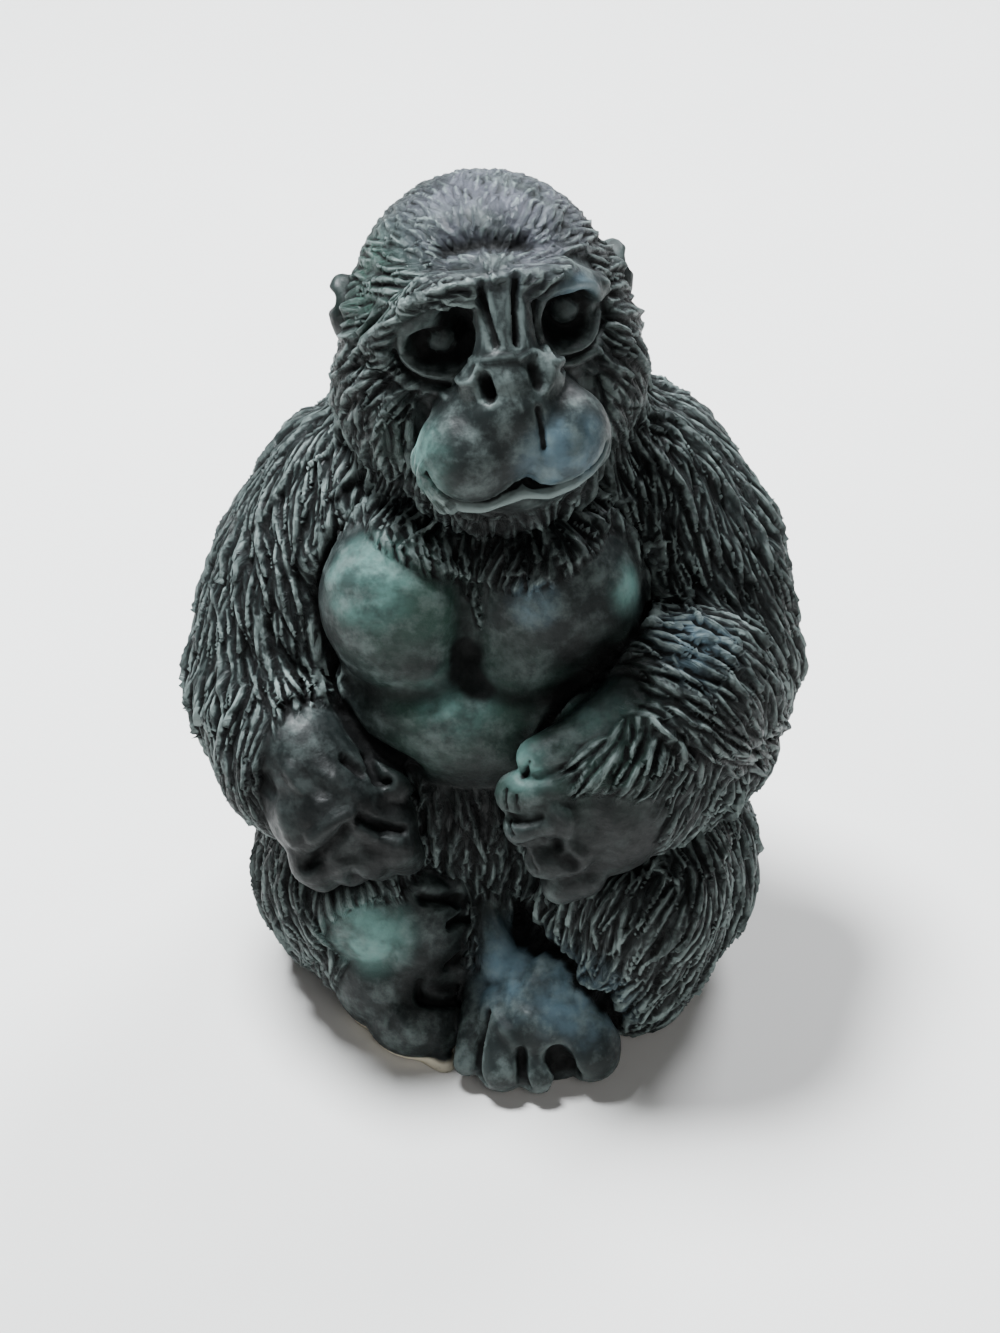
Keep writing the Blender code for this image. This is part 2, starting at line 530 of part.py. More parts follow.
def carve_feet(knife):
    # slots between the stacked toes of the right foot
    slots = (
        ((-7.2, -11.2, 14.9), (-3.6, -10.2, 13.4), 0.9),
        ((-5.6, -11.2, 12.2), (-2.4, -10.8, 11.8), 0.5),
        ((-5.4, -12.8, 9.2), (-2.2, -12.6, 9.0), 0.6),
        ((-6.6, -14.8, 6.0), (-2.6, -14.4, 6.0), 0.7),
    )
    for start, end, width in slots:
        knife.stroke([start, end], width, 1.3, 0.4)
    knife.stroke([(-5.6, -14.0, 7.4), (-5.6, -14.8, 6.2)], 0.4, 0.7)
    # left foot: the V of its top, the gap beside the thin first toe, and the hollow before the outer one
    knife.stroke([(0.6, -10.4, 12.8), (2.4, -12.6, 11.4), (3.8, -13.7, 11.2)], 0.8, 0.6)
    knife.stroke([(5.2, -12.0, 12.4), (3.8, -13.7, 11.2), (2.8, -15.6, 9.2)], 0.8, 0.6)
    knife.stroke([(-0.6, -15.4, 7.2), (-0.8, -18.4, 5.0), (-1.0, -21.6, 2.0)], 0.55, 1.4, 0.3)
    knife.stroke([(2.6, -18.0, 7.2), (2.8, -20.6, 5.0), (2.8, -22.6, 2.0)], 0.5, 1.0, 0.4)
    knife.stroke([(6.2, -19.6, 6.0), (6.6, -21.0, 4.0), (6.8, -21.6, 1.4)], 1.25, 1.7, 0.4)
    knife.stroke([(0.4, -17.4, 8.6), (2.4, -18.0, 8.4)], 0.45, 0.35)
    knife.stroke([(5.2, -17.4, 8.8), (7.4, -17.6, 8.4), (9.6, -17.4, 7.4)], 0.9, 0.35)


def carved(knife):
    for carve in (carve_eyes, carve_brow, carve_nose, carve_mouth, carve_ears):
        carve(knife)
    for carve in (carve_chest, carve_hands, carve_feet):
        carve(knife)


def cut_creases(knife, parts):
    """A slit wherever two limbs, or a limb and the trunk, lie against each other."""
    right_arm = np.minimum.reduce([parts["right_arm"], parts["right_forearm"], parts["right_hand"]])
    left_arm = np.minimum.reduce([parts["left_arm"], parts["left_forearm"], parts["left_hand"]])
    right_leg = np.minimum(parts["right_thigh"], parts["right_shin"])
    left_leg = np.minimum(parts["left_thigh"], parts["left_shin"])
    breast = np.minimum(parts["chest"], parts["belly"])
    front = knife.points[:, 1] < 2
    pairs = ((right_arm, breast), (left_arm, breast), (right_arm, right_leg), (left_arm, left_leg),
             (left_leg, parts["left_foot"]))
    for one, other in pairs:
        meet = np.exp(-(((one - other) / CREASE_WIDTH) ** 2)) * (np.maximum(one, other) < 2.0)
        knife.lift -= CREASE_DEPTH * meet * front


def bare_face(local):
    """How far inside the bare face each point lies, in millimetres."""
    inside = np.full(len(local), -9.0)
    for (x, z), (wide, high) in BARE_FACE:
        reach = np.hypot((local[:, 0] - x) / wide, (local[:, 2] - z) / high)
        inside = np.maximum(inside, (1 - reach) * min(wide, high))
    inside[local[:, 1] > -5.0] = -9.0
    return inside


def fur_mask(points, parts, ends):
    """1 where there is fur and 0 on smooth skin, with a short fade between them."""
    hairy = np.minimum.reduce([gap for name, gap in parts.items() if name not in (*SMOOTH_SKIN, "face")])
    bare = np.minimum.reduce([gap for name, gap in parts.items() if name in SMOOTH_SKIN])
    mask = np.clip(0.5 + (bare - hairy) / 1.0, 0, 1)
    local = transformed(points, head_frame().inverted())
    beard_end = BEARD_END - 1.6 * np.cos(points[:, 0] / 3.4)
    mask[(local[:, 2] < -14.6) & (points[:, 2] > beard_end)] = 1
    mask *= np.clip(0.5 - bare_face(local) / 0.6, 0, 1)
    return np.clip(smoothed(mask, ends, 2), 0, 1)


def flow_of(points, normals, parts, ends):
    """The way the fur lies at each point: down the body, and back from the face."""
    way = np.tile((0.0, 0.0, -1.0), (len(points), 1))
    way[:, 0] += 0.012 * points[:, 0]
    names = [name for name in parts if name not in SMOOTH_SKIN]
    nearest = np.argmin([parts[name] for name in names], axis=0)
    for part, lie in LIE.items():
        way[nearest == names.index(part)] = lie
    fringe = np.interp(points[:, 0], (9, 11, 14.9, 18.6, 22.6), (39.0, 38.6, 37.8, 34.6, 25.2))
    above = (nearest == names.index("left_forearm")) & (points[:, 2] > fringe)
    way[above] = (0.8, -0.1, -0.55)
    frame = head_frame()
    local = transformed(points, frame.inverted())
    from_face = local - np.array((0.0, -9.0, 4.0))
    from_face = from_face @ np.array(frame.to_3x3()).T
    from_face /= np.linalg.norm(from_face, axis=1)[:, None]
    head = np.clip((local[:, 2] + 12) / 8, 0, 1) * np.clip(1 - (np.linalg.norm(local, axis=1) - 13) / 4, 0, 1)
    way = way * (1 - head[:, None]) + from_face * head[:, None]
    way = smoothed(way, ends, round(1.6 / CLAY_VOXEL**2))
    way[:, 0] += 0.22 * np.sin(points[:, 2] / 1.7 + points[:, 0] / 2.6)
    way -= np.sum(way * normals, axis=1)[:, None] * normals
    return way / np.maximum(np.linalg.norm(way, axis=1), 1e-6)[:, None]


def scattered(points, mask, spacing, dice):
    """Vertices on the fur no nearer each other than the spacing."""
    order = [k for k in np.nonzero(mask > 0.5)[0]]
    dice.shuffle(order)
    taken, kept = {}, []
    for k in order:
        place = points[k]
        cell = tuple(int(v // spacing) for v in place)
        around = (taken.get((cell[0] + i, cell[1] + j, cell[2] + m), ())
                  for i in (-1, 0, 1) for j in (-1, 0, 1) for m in (-1, 0, 1))
        others = [points[other] for group in around for other in group]
        if any((place - other) @ (place - other) < spacing**2 for other in others):
            continue
        taken.setdefault(cell, []).append(k)
        kept.append(k)
    return kept


class Nearby:
    """Finds the vertices round a place, by cells."""

    def __init__(self, points, size):
        self.size = size
        cells = np.floor(points / size).astype(np.int64)
        self.low = cells.min(axis=0) - 1
        self.span = cells.max(axis=0) - self.low + 2
        keys = self.key(cells)
        self.order = np.argsort(keys, kind="stable")
        self.keys = keys[self.order]

    def key(self, cells):
        offset = cells - self.low
        return (offset[..., 0] * self.span[1] + offset[..., 1]) * self.span[2] + offset[..., 2]

    def around(self, place):
        cell = np.floor(place / self.size).astype(np.int64)
        steps = np.array([(i, j, -1) for i in (-1, 0, 1) for j in (-1, 0, 1)])
        first = self.key(cell + steps)
        starts = np.searchsorted(self.keys, first, "left")
        stops = np.searchsorted(self.keys, first + 2, "right")
        return np.concatenate([self.order[a:b] for a, b in zip(starts, stops)])


def nearest_to(places, points):
    """The vertex nearest each place."""
    tree = KDTree(len(points))
    for k, point in enumerate(points):
        tree.insert(point, k)
    tree.balance()
    return [tree.find(place)[1] for place in places]


def clump_places():
    """Where the clumps of fur start, found on coarse clay, so that they don't depend on the skin's fineness."""
    coarse = modelled_clay(BLOCK_VOXEL, BLOCK_VOXEL)
    points = points_of(coarse)
    mask = fur_mask(points, part_distances(points), edges_of(coarse))
    return [points[k] for k in scattered(points, mask, CLUMP[0], random.Random(7))]


def lay_clumps(points, seeds, flow, level, dice, lock):
    """Clumps of fur as tapered ridges. Returns each vertex's rise."""
    spacing, length, half_width, height = lock
    rise = np.zeros(len(points))
    finder = Nearby(points, length * 0.66)
    for seed in seeds:
        near = finder.around(points[seed])
        away = points[near] - points[seed]
        swing = dice.gauss(0, 0.16)
        along = flow[seed] + swing * np.cross(level[seed], flow[seed])
        along /= np.linalg.norm(along)
        across = np.cross(level[seed], along)
        size = dice.uniform(0.7, 1.3)
        share = away @ along / (length * size) + 0.4
        wave = 0.22 * half_width * np.sin(5.5 * share + dice.uniform(0, 2 * math.pi))
        side = away @ across + 0.7 * swing * length * (share - 0.4) ** 2 + wave
        outline = np.clip(share / 0.3, 0, 1) ** 0.5 * np.clip((1 - share) / 0.75, 0, 1) ** 0.7
        beside = side / (half_width * size * np.maximum(outline, 1e-3))
        ridge = np.clip(1 - np.abs(beside) ** 1.6, 0, 1) * (0.35 + 0.65 * np.clip(share / 0.7, 0, 1))
        ridge[(share <= 0) | (share >= 1) | (np.abs(away @ level[seed]) > 0.45 * length)] = 0
        lift = height * dice.uniform(0.55, 1.3) * ridge
        dice.random()
        rise[near] = np.maximum(rise[near], lift)
    return rise


def sculpted():
    """The finished surface as a mesh in millimetres."""
    mesh = modelled_clay(BLOCK_VOXEL, CLAY_VOXEL)
    ends = edges_of(mesh)
    knife = Knife(mesh)
    parts = part_distances(knife.points)
    carved(knife)
    cut_creases(knife, parts)
    points, _ = knife.shaped()
    put_points(mesh, points)
    normals = normals_of(mesh)
    mask = fur_mask(points, parts, ends)
    level = smoothed(normals, ends, round(0.5 / CLAY_VOXEL**2))
    level /= np.linalg.norm(level, axis=1)[:, None]
    flow = flow_of(points, level, parts, ends)
    rise = lay_clumps(points, nearest_to(clump_places(), points), flow, level, random.Random(7), CLUMP)
    put_points(mesh, points + (rise * mask)[:, None] * level)
    return mesh


def sized(mesh):
    """Brings the clay to the figure's own width, depth and height above the table."""
    points = points_of(mesh)
    low, high = points.min(axis=0), points.max(axis=0)
    now = np.array((high[0] - low[0], high[1] - low[1], high[2]))
    put_points(mesh, points * np.array((FIGURE_WIDTH, FIGURE_DEPTH, FIGURE_HEIGHT)) / now)
    return mesh


def resin():
    material = bpy.data.materials.new("dark_resin")
    material.use_nodes = True
    shader = material.node_tree.nodes["Principled BSDF"]
    shader.inputs["Base Color"].default_value = (0.03, 0.045, 0.045, 1)
    shader.inputs["Roughness"].default_value = 0.5
    shader.inputs["Metallic"].default_value = 0.0
    return material


def table_cutter():
    """A block below z = 0: it takes off what hangs under the figure, so that the figure stands flat."""
    bpy.ops.mesh.primitive_cube_add(size=1)
    block = bpy.context.object
    block.name = "table_cutter"
    side = TABLE_BLOCK * MM
    block.scale = (side, side, side)
    block.location = (0, 0, -side / 2)
    block.hide_render = True
    block.display_type = "WIRE"
    return block


def cast_figure():
    mesh = sized(sculpted())
    mesh.transform(Matrix.Scale(MM, 4))
    mesh.name = "gorilla_figurine"
    mesh.materials.clear()
    mesh.materials.append(resin())
    figure = bpy.data.objects.new("gorilla_figurine", mesh)
    bpy.context.scene.collection.objects.link(figure)
    skin = figure.modifiers.new("skin", "REMESH")
    skin.mode = "VOXEL"
    skin.voxel_size = CAST_VOXEL * MM
    fewer = figure.modifiers.new("fewer_faces", "DECIMATE")
    fewer.use_collapse_triangulate = True
    fewer.ratio = CAST_TRIANGLES / (2 * len(mesh.polygons))
    flat = figure.modifiers.new("flat_base", "BOOLEAN")
    flat.operation = "DIFFERENCE"
    flat.solver = "EXACT"
    flat.object = table_cutter()
    return figure


def main():
    for thing in list(bpy.data.objects):
        bpy.data.objects.remove(thing)
    cast_figure()


main()
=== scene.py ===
"""The looks of the gorilla figurine: fine fur, carved skin and dry-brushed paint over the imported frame.

The figure is modelled in millimetres, as clay would be: round masses on named landmarks, fused and smoothed,
then strokes cut or raised on the skin, then locks of fur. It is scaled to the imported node's height.
+X is the gorilla's left, -Y its front, +Z up.
"""

import json
import math
import random
from functools import partial

import bmesh
import bpy
import numpy as np
from mathutils import Euler, Matrix, Vector
from mathutils.bvhtree import BVHTree
from mathutils.kdtree import KDTree

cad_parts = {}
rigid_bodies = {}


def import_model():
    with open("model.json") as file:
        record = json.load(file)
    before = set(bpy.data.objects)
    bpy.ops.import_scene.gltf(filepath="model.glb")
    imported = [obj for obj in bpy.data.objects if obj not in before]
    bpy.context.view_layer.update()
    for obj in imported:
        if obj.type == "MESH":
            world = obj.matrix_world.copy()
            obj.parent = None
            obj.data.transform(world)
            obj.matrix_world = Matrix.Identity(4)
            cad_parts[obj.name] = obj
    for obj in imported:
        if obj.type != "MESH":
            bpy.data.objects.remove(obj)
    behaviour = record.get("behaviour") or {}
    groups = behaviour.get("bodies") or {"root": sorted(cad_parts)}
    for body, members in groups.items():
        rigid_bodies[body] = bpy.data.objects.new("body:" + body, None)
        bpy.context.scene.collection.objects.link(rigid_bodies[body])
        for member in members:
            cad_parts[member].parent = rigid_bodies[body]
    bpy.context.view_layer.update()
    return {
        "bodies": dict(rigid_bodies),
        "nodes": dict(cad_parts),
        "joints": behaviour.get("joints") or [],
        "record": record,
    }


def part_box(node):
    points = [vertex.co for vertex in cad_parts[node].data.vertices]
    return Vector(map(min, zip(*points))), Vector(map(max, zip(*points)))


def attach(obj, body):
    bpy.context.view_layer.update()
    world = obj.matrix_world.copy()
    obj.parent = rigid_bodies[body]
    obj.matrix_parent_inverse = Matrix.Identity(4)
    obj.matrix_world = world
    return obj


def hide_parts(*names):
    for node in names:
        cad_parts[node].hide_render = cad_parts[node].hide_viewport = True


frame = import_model()
NODE = "gorilla_figurine"

# Head: its centre, how it is turned, and the skull's half-sizes
HEAD_CENTRE = (-0.6, 6.2, 66.8)
HEAD_YAW, HEAD_PITCH, HEAD_ROLL = 9.5, -12.0, -2.5
SKULL = (10.4, 10.8, 9.8)
MUZZLE_LOBE = (4.6, 4.2, 4.4)
EAR = (1.4, 2.4, 3.3)
# The lower lip's roll from right to left, and the slit over it as x and z on the face
LIP = [
    (-6.5, -10.3, -11.2), (-4.8, -11.9, -12.3), (-3.2, -12.5, -12.4),
    (-1.4, -12.9, -11.8), (0.3, -13.1, -11.3), (2.2, -13.1, -11.7),
    (4.2, -13.0, -11.2), (5.8, -12.5, -10.4), (7.2, -11.3, -9.2),
]
LIP_RADIUS = 0.55
MOUTH = [
    (-7.4, -8.9), (-6.6, -10.4), (-4.8, -11.6), (-2.8, -11.7), (-1.0, -10.9), (0.3, -10.4),
    (0.9, -10.8), (2.6, -11.0), (4.6, -10.4), (6.5, -9.3), (7.2, -8.2),
]

# Landmarks of the trunk and limbs, each with the radius of flesh around it
NECK = (-0.2, 8.5, 58.0)
NAPE = (-0.2, 11.0, 50.0)
RIGHT_SHOULDER, LEFT_SHOULDER = (-10.8, 8.5, 44.5), (11.6, 9.0, 45.8)
RIGHT_UPPER_ARM, LEFT_UPPER_ARM = (-16.2, 6.0, 38.0), (16.8, 6.5, 39.5)
RIGHT_ELBOW, LEFT_ELBOW = (-19.6, 2.5, 30.5), (19.6, 2.5, 31.5)
RIGHT_FOREARM, LEFT_FOREARM = (-17.2, -5.0, 27.0), (15.6, -6.5, 35.0)
RIGHT_WRIST, LEFT_WRIST = (-15.0, -8.6, 25.5), (9.5, -12.4, 32.5)
RIGHT_HIP, LEFT_HIP = (-11.0, -2.0, 13.0), (12.0, -2.0, 13.0)
RIGHT_KNEE, LEFT_KNEE = (-13.0, -6.8, 14.0), (13.6, -10.6, 16.0)
RIGHT_ANKLE, LEFT_ANKLE = (-10.8, -8.4, 6.5), (6.0, -9.6, 9.5)
SHOULDER_RADIUS, ELBOW_RADIUS, WRIST_RADIUS = 9.6, 7.6, 5.4
HIP_RADIUS, KNEE_RADIUS, ANKLE_RADIUS = 10.0, 7.4, 4.0

# Fineness of the clay and of the finished surface
BLOCK_VOXEL = 0.7
FINE_VOXEL = 0.24
MOST_TRIANGLES = 196000

# Smoothing, as the area in square millimetres that it spreads over: of the big masses, the clay, the skin's
# slope, the fur's lie and its cover, and of the two levels that the paint compares the skin with
BLOCK_AREA, CLAY_AREA = 10.8, 0.42
SLOPE_AREA, LIE_AREA, COVER_AREA = 0.5, 1.6, 0.8
NEAR_AREA, WIDE_AREA = 0.25, 2.2

# Fur: the spacing, length, half-width and height of one lock, on the body and on the crown of the head
BODY_LOCK = (1.10, 6.2, 0.56, 0.50)
CLUMP = (2.2, 9.0, 1.5, 0.85)
HEAD_LOCK = (0.85, 4.2, 0.42, 0.42)
CROWN_LOCK = (0.72, 2.3, 0.34, 0.20)
TUFT_LOCK = (1.00, 4.6, 0.72, 1.00)
CREASE_DEPTH, CREASE_WIDTH = 1.2, 0.8
# The height where the beard ends on the chest
BEARD_END = 49.0

SMOOTH_SKIN = ("chest", "belly", "right_hand", "left_hand", "right_foot", "left_foot", "ear")
# Bare skin on the face, as x and z of a middle and the half-sizes round it
BARE_FACE = (
    ((0.1, -7.2), (8.0, 6.2)),
    ((0.1, 0.0), (3.4, 6.2)),
    ((-4.8, 0.2), (4.0, 4.2)),
    ((5.8, 1.2), (3.8, 4.7)),
    ((0.0, -11.6), (5.6, 2.6)),
)
# Bare skin on the hands, forearms and foot: a middle and a radius
BARE_SPOTS = (
    ((-13.0, -8.4, 31.4), 3.4),
    ((-15.4, -11.4, 29.0), 4.4),
    ((-18.2, -11.2, 27.6), 2.6),
    ((-14.0, -12.5, 24.0), 4.6),
    ((5.6, -13.4, 36.0), 2.8),
    ((8.6, -12.0, 38.4), 2.1),
    ((-11.0, -13.5, 12.5), 4.4),
    ((9.4, -16.6, 29.6), 4.4),
)
# The way the fur lies on the limbs
LIE = {
    "right_arm": (0.30, -0.2, -1.0),
    "right_forearm": (0.18, -0.2, -1.0),
    "left_arm": (0.10, 0.0, -1.0),
    "left_forearm": (-0.55, -0.2, -0.8),
    "right_thigh": (0.25, -0.3, -1.0),
    "left_thigh": (-0.40, -0.3, -1.0),
    "left_shin": (-0.40, -0.3, -1.0),
}
# Lines along which tufts of longer fur stand out
FRINGES = (
    [(-25.9, -1.3, 30.1), (-23.5, -3.7, 33.4), (-21.6, -4.2, 34.5), (-18.1, -4.5, 35.2)],
    [(11.0, -13.2, 38.6), (14.9, -13.9, 37.8), (18.6, -13.2, 34.6), (22.0, -8.6, 28.0)],
    [(13.1, -6.7, 42.4), (16.0, -7.4, 42.1), (19.1, -6.1, 41.4), (22.2, -5.5, 38.6)],
)

# Paint: the black in the hollows, also used for painted shade; the coat under everything; the dry-brushed
# grey on what stands out;
# the tints, painted highlights and a painted sheen over it; and the bare resin of the rim
INK_AND_SHADE = (0.0010, 0.0014, 0.0014, 1)
BODY = (0.0080, 0.0115, 0.0115, 1)
DUSTY = (0.190, 0.240, 0.230, 1)
# teal: partly teal paint, partly painted highlight
TEAL_AND_HIGHLIGHT = (0.105, 0.215, 0.195, 1)
GREEN = (0.020, 0.048, 0.037, 1)
# a painted bluish highlight
BLUE_HIGHLIGHT = (0.075, 0.125, 0.155, 1)
# a painted cool sheen on the crown
PLUM_SHEEN = (0.070, 0.074, 0.092, 1)
BARE = (0.80, 0.74, 0.58, 1)
# Where each tint, painted highlight and painted sheen lies, later ones over earlier ones: places on the
# figure and how far each reaches
TINTS_AND_HIGHLIGHTS = (
    (GREEN, (
        ((-2.0, -10.0, 36.0), 12.0), ((9.0, -14.0, 33.0), 8.0), ((-9.0, -9.0, 60.0), 8.0),
        ((-10.0, 2.0, 72.0), 8.0), ((-7.0, -8.0, 45.0), 9.0), ((9.0, -10.0, 38.0), 8.0),
    )),
    # teal paint and painted highlight on the lit tops
    (TEAL_AND_HIGHLIGHT, (
        ((-10.8, -7.4, 48.2), 5.4), ((-6.6, -8.2, 61.6), 4.6), ((-11.2, -13.8, 13.0), 5.6),
        ((3.0, -15.2, 34.6), 3.0), ((8.8, -11.4, 38.8), 4.0), ((-6.0, -9.0, 67.0), 4.0),
        ((-3.0, -9.6, 37.0), 4.5), ((12.2, -6.4, 46.8), 3.4),
    )),
    # painted bluish highlights on the gorilla's left side
    (BLUE_HIGHLIGHT, (
        ((5.8, -8.2, 61.8), 5.0), ((8.0, -16.0, 8.4), 7.0), ((2.0, -15.0, 10.0), 6.0),
        ((3.4, -8.6, 47.0), 3.0), ((17.0, -8.0, 41.0), 5.0), ((8.0, -2.0, 72.0), 4.0),
    )),
    # painted cool sheen on the crown of the head
    (PLUM_SHEEN, (((0.0, 6.0, 78.0), 12.0),)),
)
# Painted shade: where the colour is darkened towards black most, on the lower chest, lap, hands, feet, lower
# legs, ears and throat
PAINTED_SHADE_PLACES = (
    ((-7.0, -12.0, 40.6), 6.0), ((0.6, -11.6, 42.0), 6.0), ((9.0, -10.0, 41.0), 7.0),
    ((0.0, -8.0, 27.0), 12.0), ((-13.0, -13.0, 26.0), 13.0), ((9.0, -17.0, 28.0), 10.0),
    ((0.0, -8.6, 53.0), 8.0), ((-18.0, -8.0, 28.0), 8.0), ((-5.0, -14.0, 8.0), 6.0),
    ((14.0, -12.0, 12.0), 9.0), ((-19.0, -2.0, 12.0), 9.0), ((10.1, 10.0, 67.0), 5.0),
    ((-12.0, 6.3, 67.0), 5.0), ((0.0, -9.0, 56.4), 5.0), ((-2.0, -12.0, 3.0), 7.0),
)
# The bare rim: its middle and reach, and the heights in metres between which the paint starts
RIM_PLACE, RIM_REACH = (-9.5, -15.5, 0.5), 10.0
RIM_FROM, RIM_TO = 0.0008, 0.0012

# The photographer's place: how far away, how high, and the lens for a 36 mm tall frame
AIM = (0.7, 0.0, 33.0)
CAMERA_DISTANCE = 245.0
CAMERA_ELEVATION = 40.0
FRAME_HEIGHT, LENS = 36.0, 74.3

# The studio, in metres: where each lamp stands, where it points, its width, power and colour; the pale floor
LAMPS = {
    "key": ((-0.12, 0.10, 0.44), (0, 0, 0.04), 0.14, 8.5, (0.93, 0.97, 1.0)),
    "back": ((0.16, 0.26, 0.30), (0, 0, 0.05), 0.16, 2.4, (0.93, 0.96, 1.0)),
    "fill": ((0.10, -0.34, 0.30), (0, 0, 0.03), 0.30, 0.45, (1.0, 0.98, 0.96)),
}
SKY, SKY_STRENGTH = (0.85, 0.90, 0.95, 1), 0.07
PAPER, PALER_PAPER = (0.70, 0.69, 0.67, 1), (0.74, 0.73, 0.71, 1)
FLOOR_REACH, FLOOR_DROP = 1.2, 0.00005


def head_frame():
    yaw, pitch, roll = (math.radians(angle) for angle in (HEAD_YAW, HEAD_PITCH, HEAD_ROLL))
    turned = Matrix.Rotation(yaw, 4, "Z") @ Matrix.Rotation(pitch, 4, "X") @ Matrix.Rotation(roll, 4, "Y")
    return Matrix.Translation(HEAD_CENTRE) @ turned


class Ball:
    """An ellipsoid of clay."""

    def __init__(self, part, centre, radii, turn=(0, 0, 0), frame=None):
        self.part = part
        turned = Euler([math.radians(angle) for angle in turn]).to_matrix().to_4x4()
        self.place = (frame or Matrix()) @ Matrix.Translation(centre) @ turned
        self.radii = radii if hasattr(radii, "__len__") else (radii,) * 3

    def add_to(self, clay):
        place = self.place @ Matrix.Diagonal((*self.radii, 1))
        bmesh.ops.create_icosphere(clay, subdivisions=4, radius=1.0, matrix=place)

    def distance(self, points):
        local = transformed(points, self.place.inverted()) / self.radii
        size = np.linalg.norm(local, axis=1)
        return (size - 1) * min(self.radii)


class Limb:
    """A tapered round bar of clay between two landmarks."""

    def __init__(self, part, start, start_radius, end, end_radius, frame=None):
        self.part = part
        frame = frame or Matrix()
        self.start, self.end = frame @ Vector(start), frame @ Vector(end)
        self.radii = (start_radius, end_radius)

    def add_to(self, clay):
        shell = bmesh.new()
        for centre, radius in zip((self.start, self.end), self.radii):
            place = Matrix.Translation(centre)
            bmesh.ops.create_icosphere(shell, subdivisions=3, radius=radius, matrix=place)
        bmesh.ops.delete(shell, geom=list(shell.edges), context="EDGES_FACES")
        hull = bmesh.ops.convex_hull(shell, input=list(shell.verts))
        spare = set(hull["geom_interior"] + hull["geom_unused"])
        inner = [item for item in spare if isinstance(item, bmesh.types.BMVert)]
        bmesh.ops.delete(shell, geom=inner, context="VERTS")
        mesh = mesh_from(shell)
        clay.from_mesh(mesh)
        bpy.data.meshes.remove(mesh)

    def distance(self, points):
        start, way = np.array(self.start), np.array(self.end - self.start)
        share = np.clip((points - start) @ way / (way @ way), 0, 1)
        gap = np.linalg.norm(points - start - share[:, None] * way, axis=1)
        return gap - (self.radii[0] + share * (self.radii[1] - self.radii[0]))


def transformed(points, matrix):
    matrix = np.array(matrix)
    return points @ matrix[:3, :3].T + matrix[:3, 3]


def mesh_from(clay):
    mesh = bpy.data.meshes.new("clay")
    clay.to_mesh(mesh)
    clay.free()
    return mesh


def between(a, b, share):
    return Vector(a).lerp(Vector(b), share)


def trunk_masses():
    yield Ball("rump", (0.8, 7.5, 13.0), (20.4, 17.0, 16.5))
    yield Ball("rump", (0.8, 4.5, 4.0), (20.5, 17.5, 9.0))
    yield Ball("trunk", (0, 6.5, 30), (19.5, 15.5, 18))
    yield Ball("trunk", (0, 8.6, 23), (19.2, 15.4, 12))
    yield Ball("trunk", (0, 8.0, 42), (18.5, 14.5, 15))
    yield Ball("trunk", (0, 12.5, 45), (14.5, 11.5, 14))
    yield Ball("trunk", (-0.5, -1.5, 21), (11, 8.5, 11))
    yield Ball("trunk", (-2.0, -4.5, 6), (9, 8.5, 9))
    yield Ball("trunk", (-1.5, -9.5, 2.5), (5.0, 6.0, 5.0))
    yield Limb("neck", NAPE, 13.0, NECK, 12.6)
    yield Limb("neck", NECK, 12.6, HEAD_CENTRE, 10.6)


def leg_masses():
    yield Ball("right_thigh", (-11.8, -1.5, 11.0), (9.8, 11.0, 11.5))
    yield Ball("left_thigh", (12.8, -1.5, 11), (11.4, 12.0, 12.0))
    yield Limb("right_thigh", RIGHT_HIP, HIP_RADIUS, RIGHT_KNEE, KNEE_RADIUS)
    yield Limb("left_thigh", LEFT_HIP, HIP_RADIUS, LEFT_KNEE, KNEE_RADIUS)
    yield Limb("right_shin", RIGHT_KNEE, 6.6, RIGHT_ANKLE, 5.4)
    yield Limb("left_shin", LEFT_KNEE, KNEE_RADIUS, (12.0, -10.4, 7.0), 6.8)
    yield Limb("left_shin", LEFT_KNEE, 6.6, LEFT_ANKLE, ANKLE_RADIUS)


def arm_masses():
    yield Limb("right_arm", RIGHT_SHOULDER, SHOULDER_RADIUS, RIGHT_UPPER_ARM, 8.8)
    yield Limb("right_arm", RIGHT_UPPER_ARM, 8.8, RIGHT_ELBOW, ELBOW_RADIUS)
    yield Limb("right_forearm", RIGHT_ELBOW, ELBOW_RADIUS, RIGHT_FOREARM, 6.9)
    yield Limb("right_forearm", RIGHT_FOREARM, 6.9, RIGHT_WRIST, WRIST_RADIUS)
    yield Limb("left_arm", LEFT_SHOULDER, SHOULDER_RADIUS, LEFT_UPPER_ARM, 9.0)
    yield Limb("left_arm", LEFT_UPPER_ARM, 9.0, LEFT_ELBOW, ELBOW_RADIUS)
    yield Limb("left_forearm", LEFT_ELBOW, ELBOW_RADIUS, LEFT_FOREARM, ELBOW_RADIUS)
    yield Limb("left_forearm", LEFT_FOREARM, ELBOW_RADIUS, LEFT_WRIST, WRIST_RADIUS)
    yield Limb("left_forearm", (18.6, -1.5, 27.0), 6.9, (12.0, -11.5, 28.5), WRIST_RADIUS)


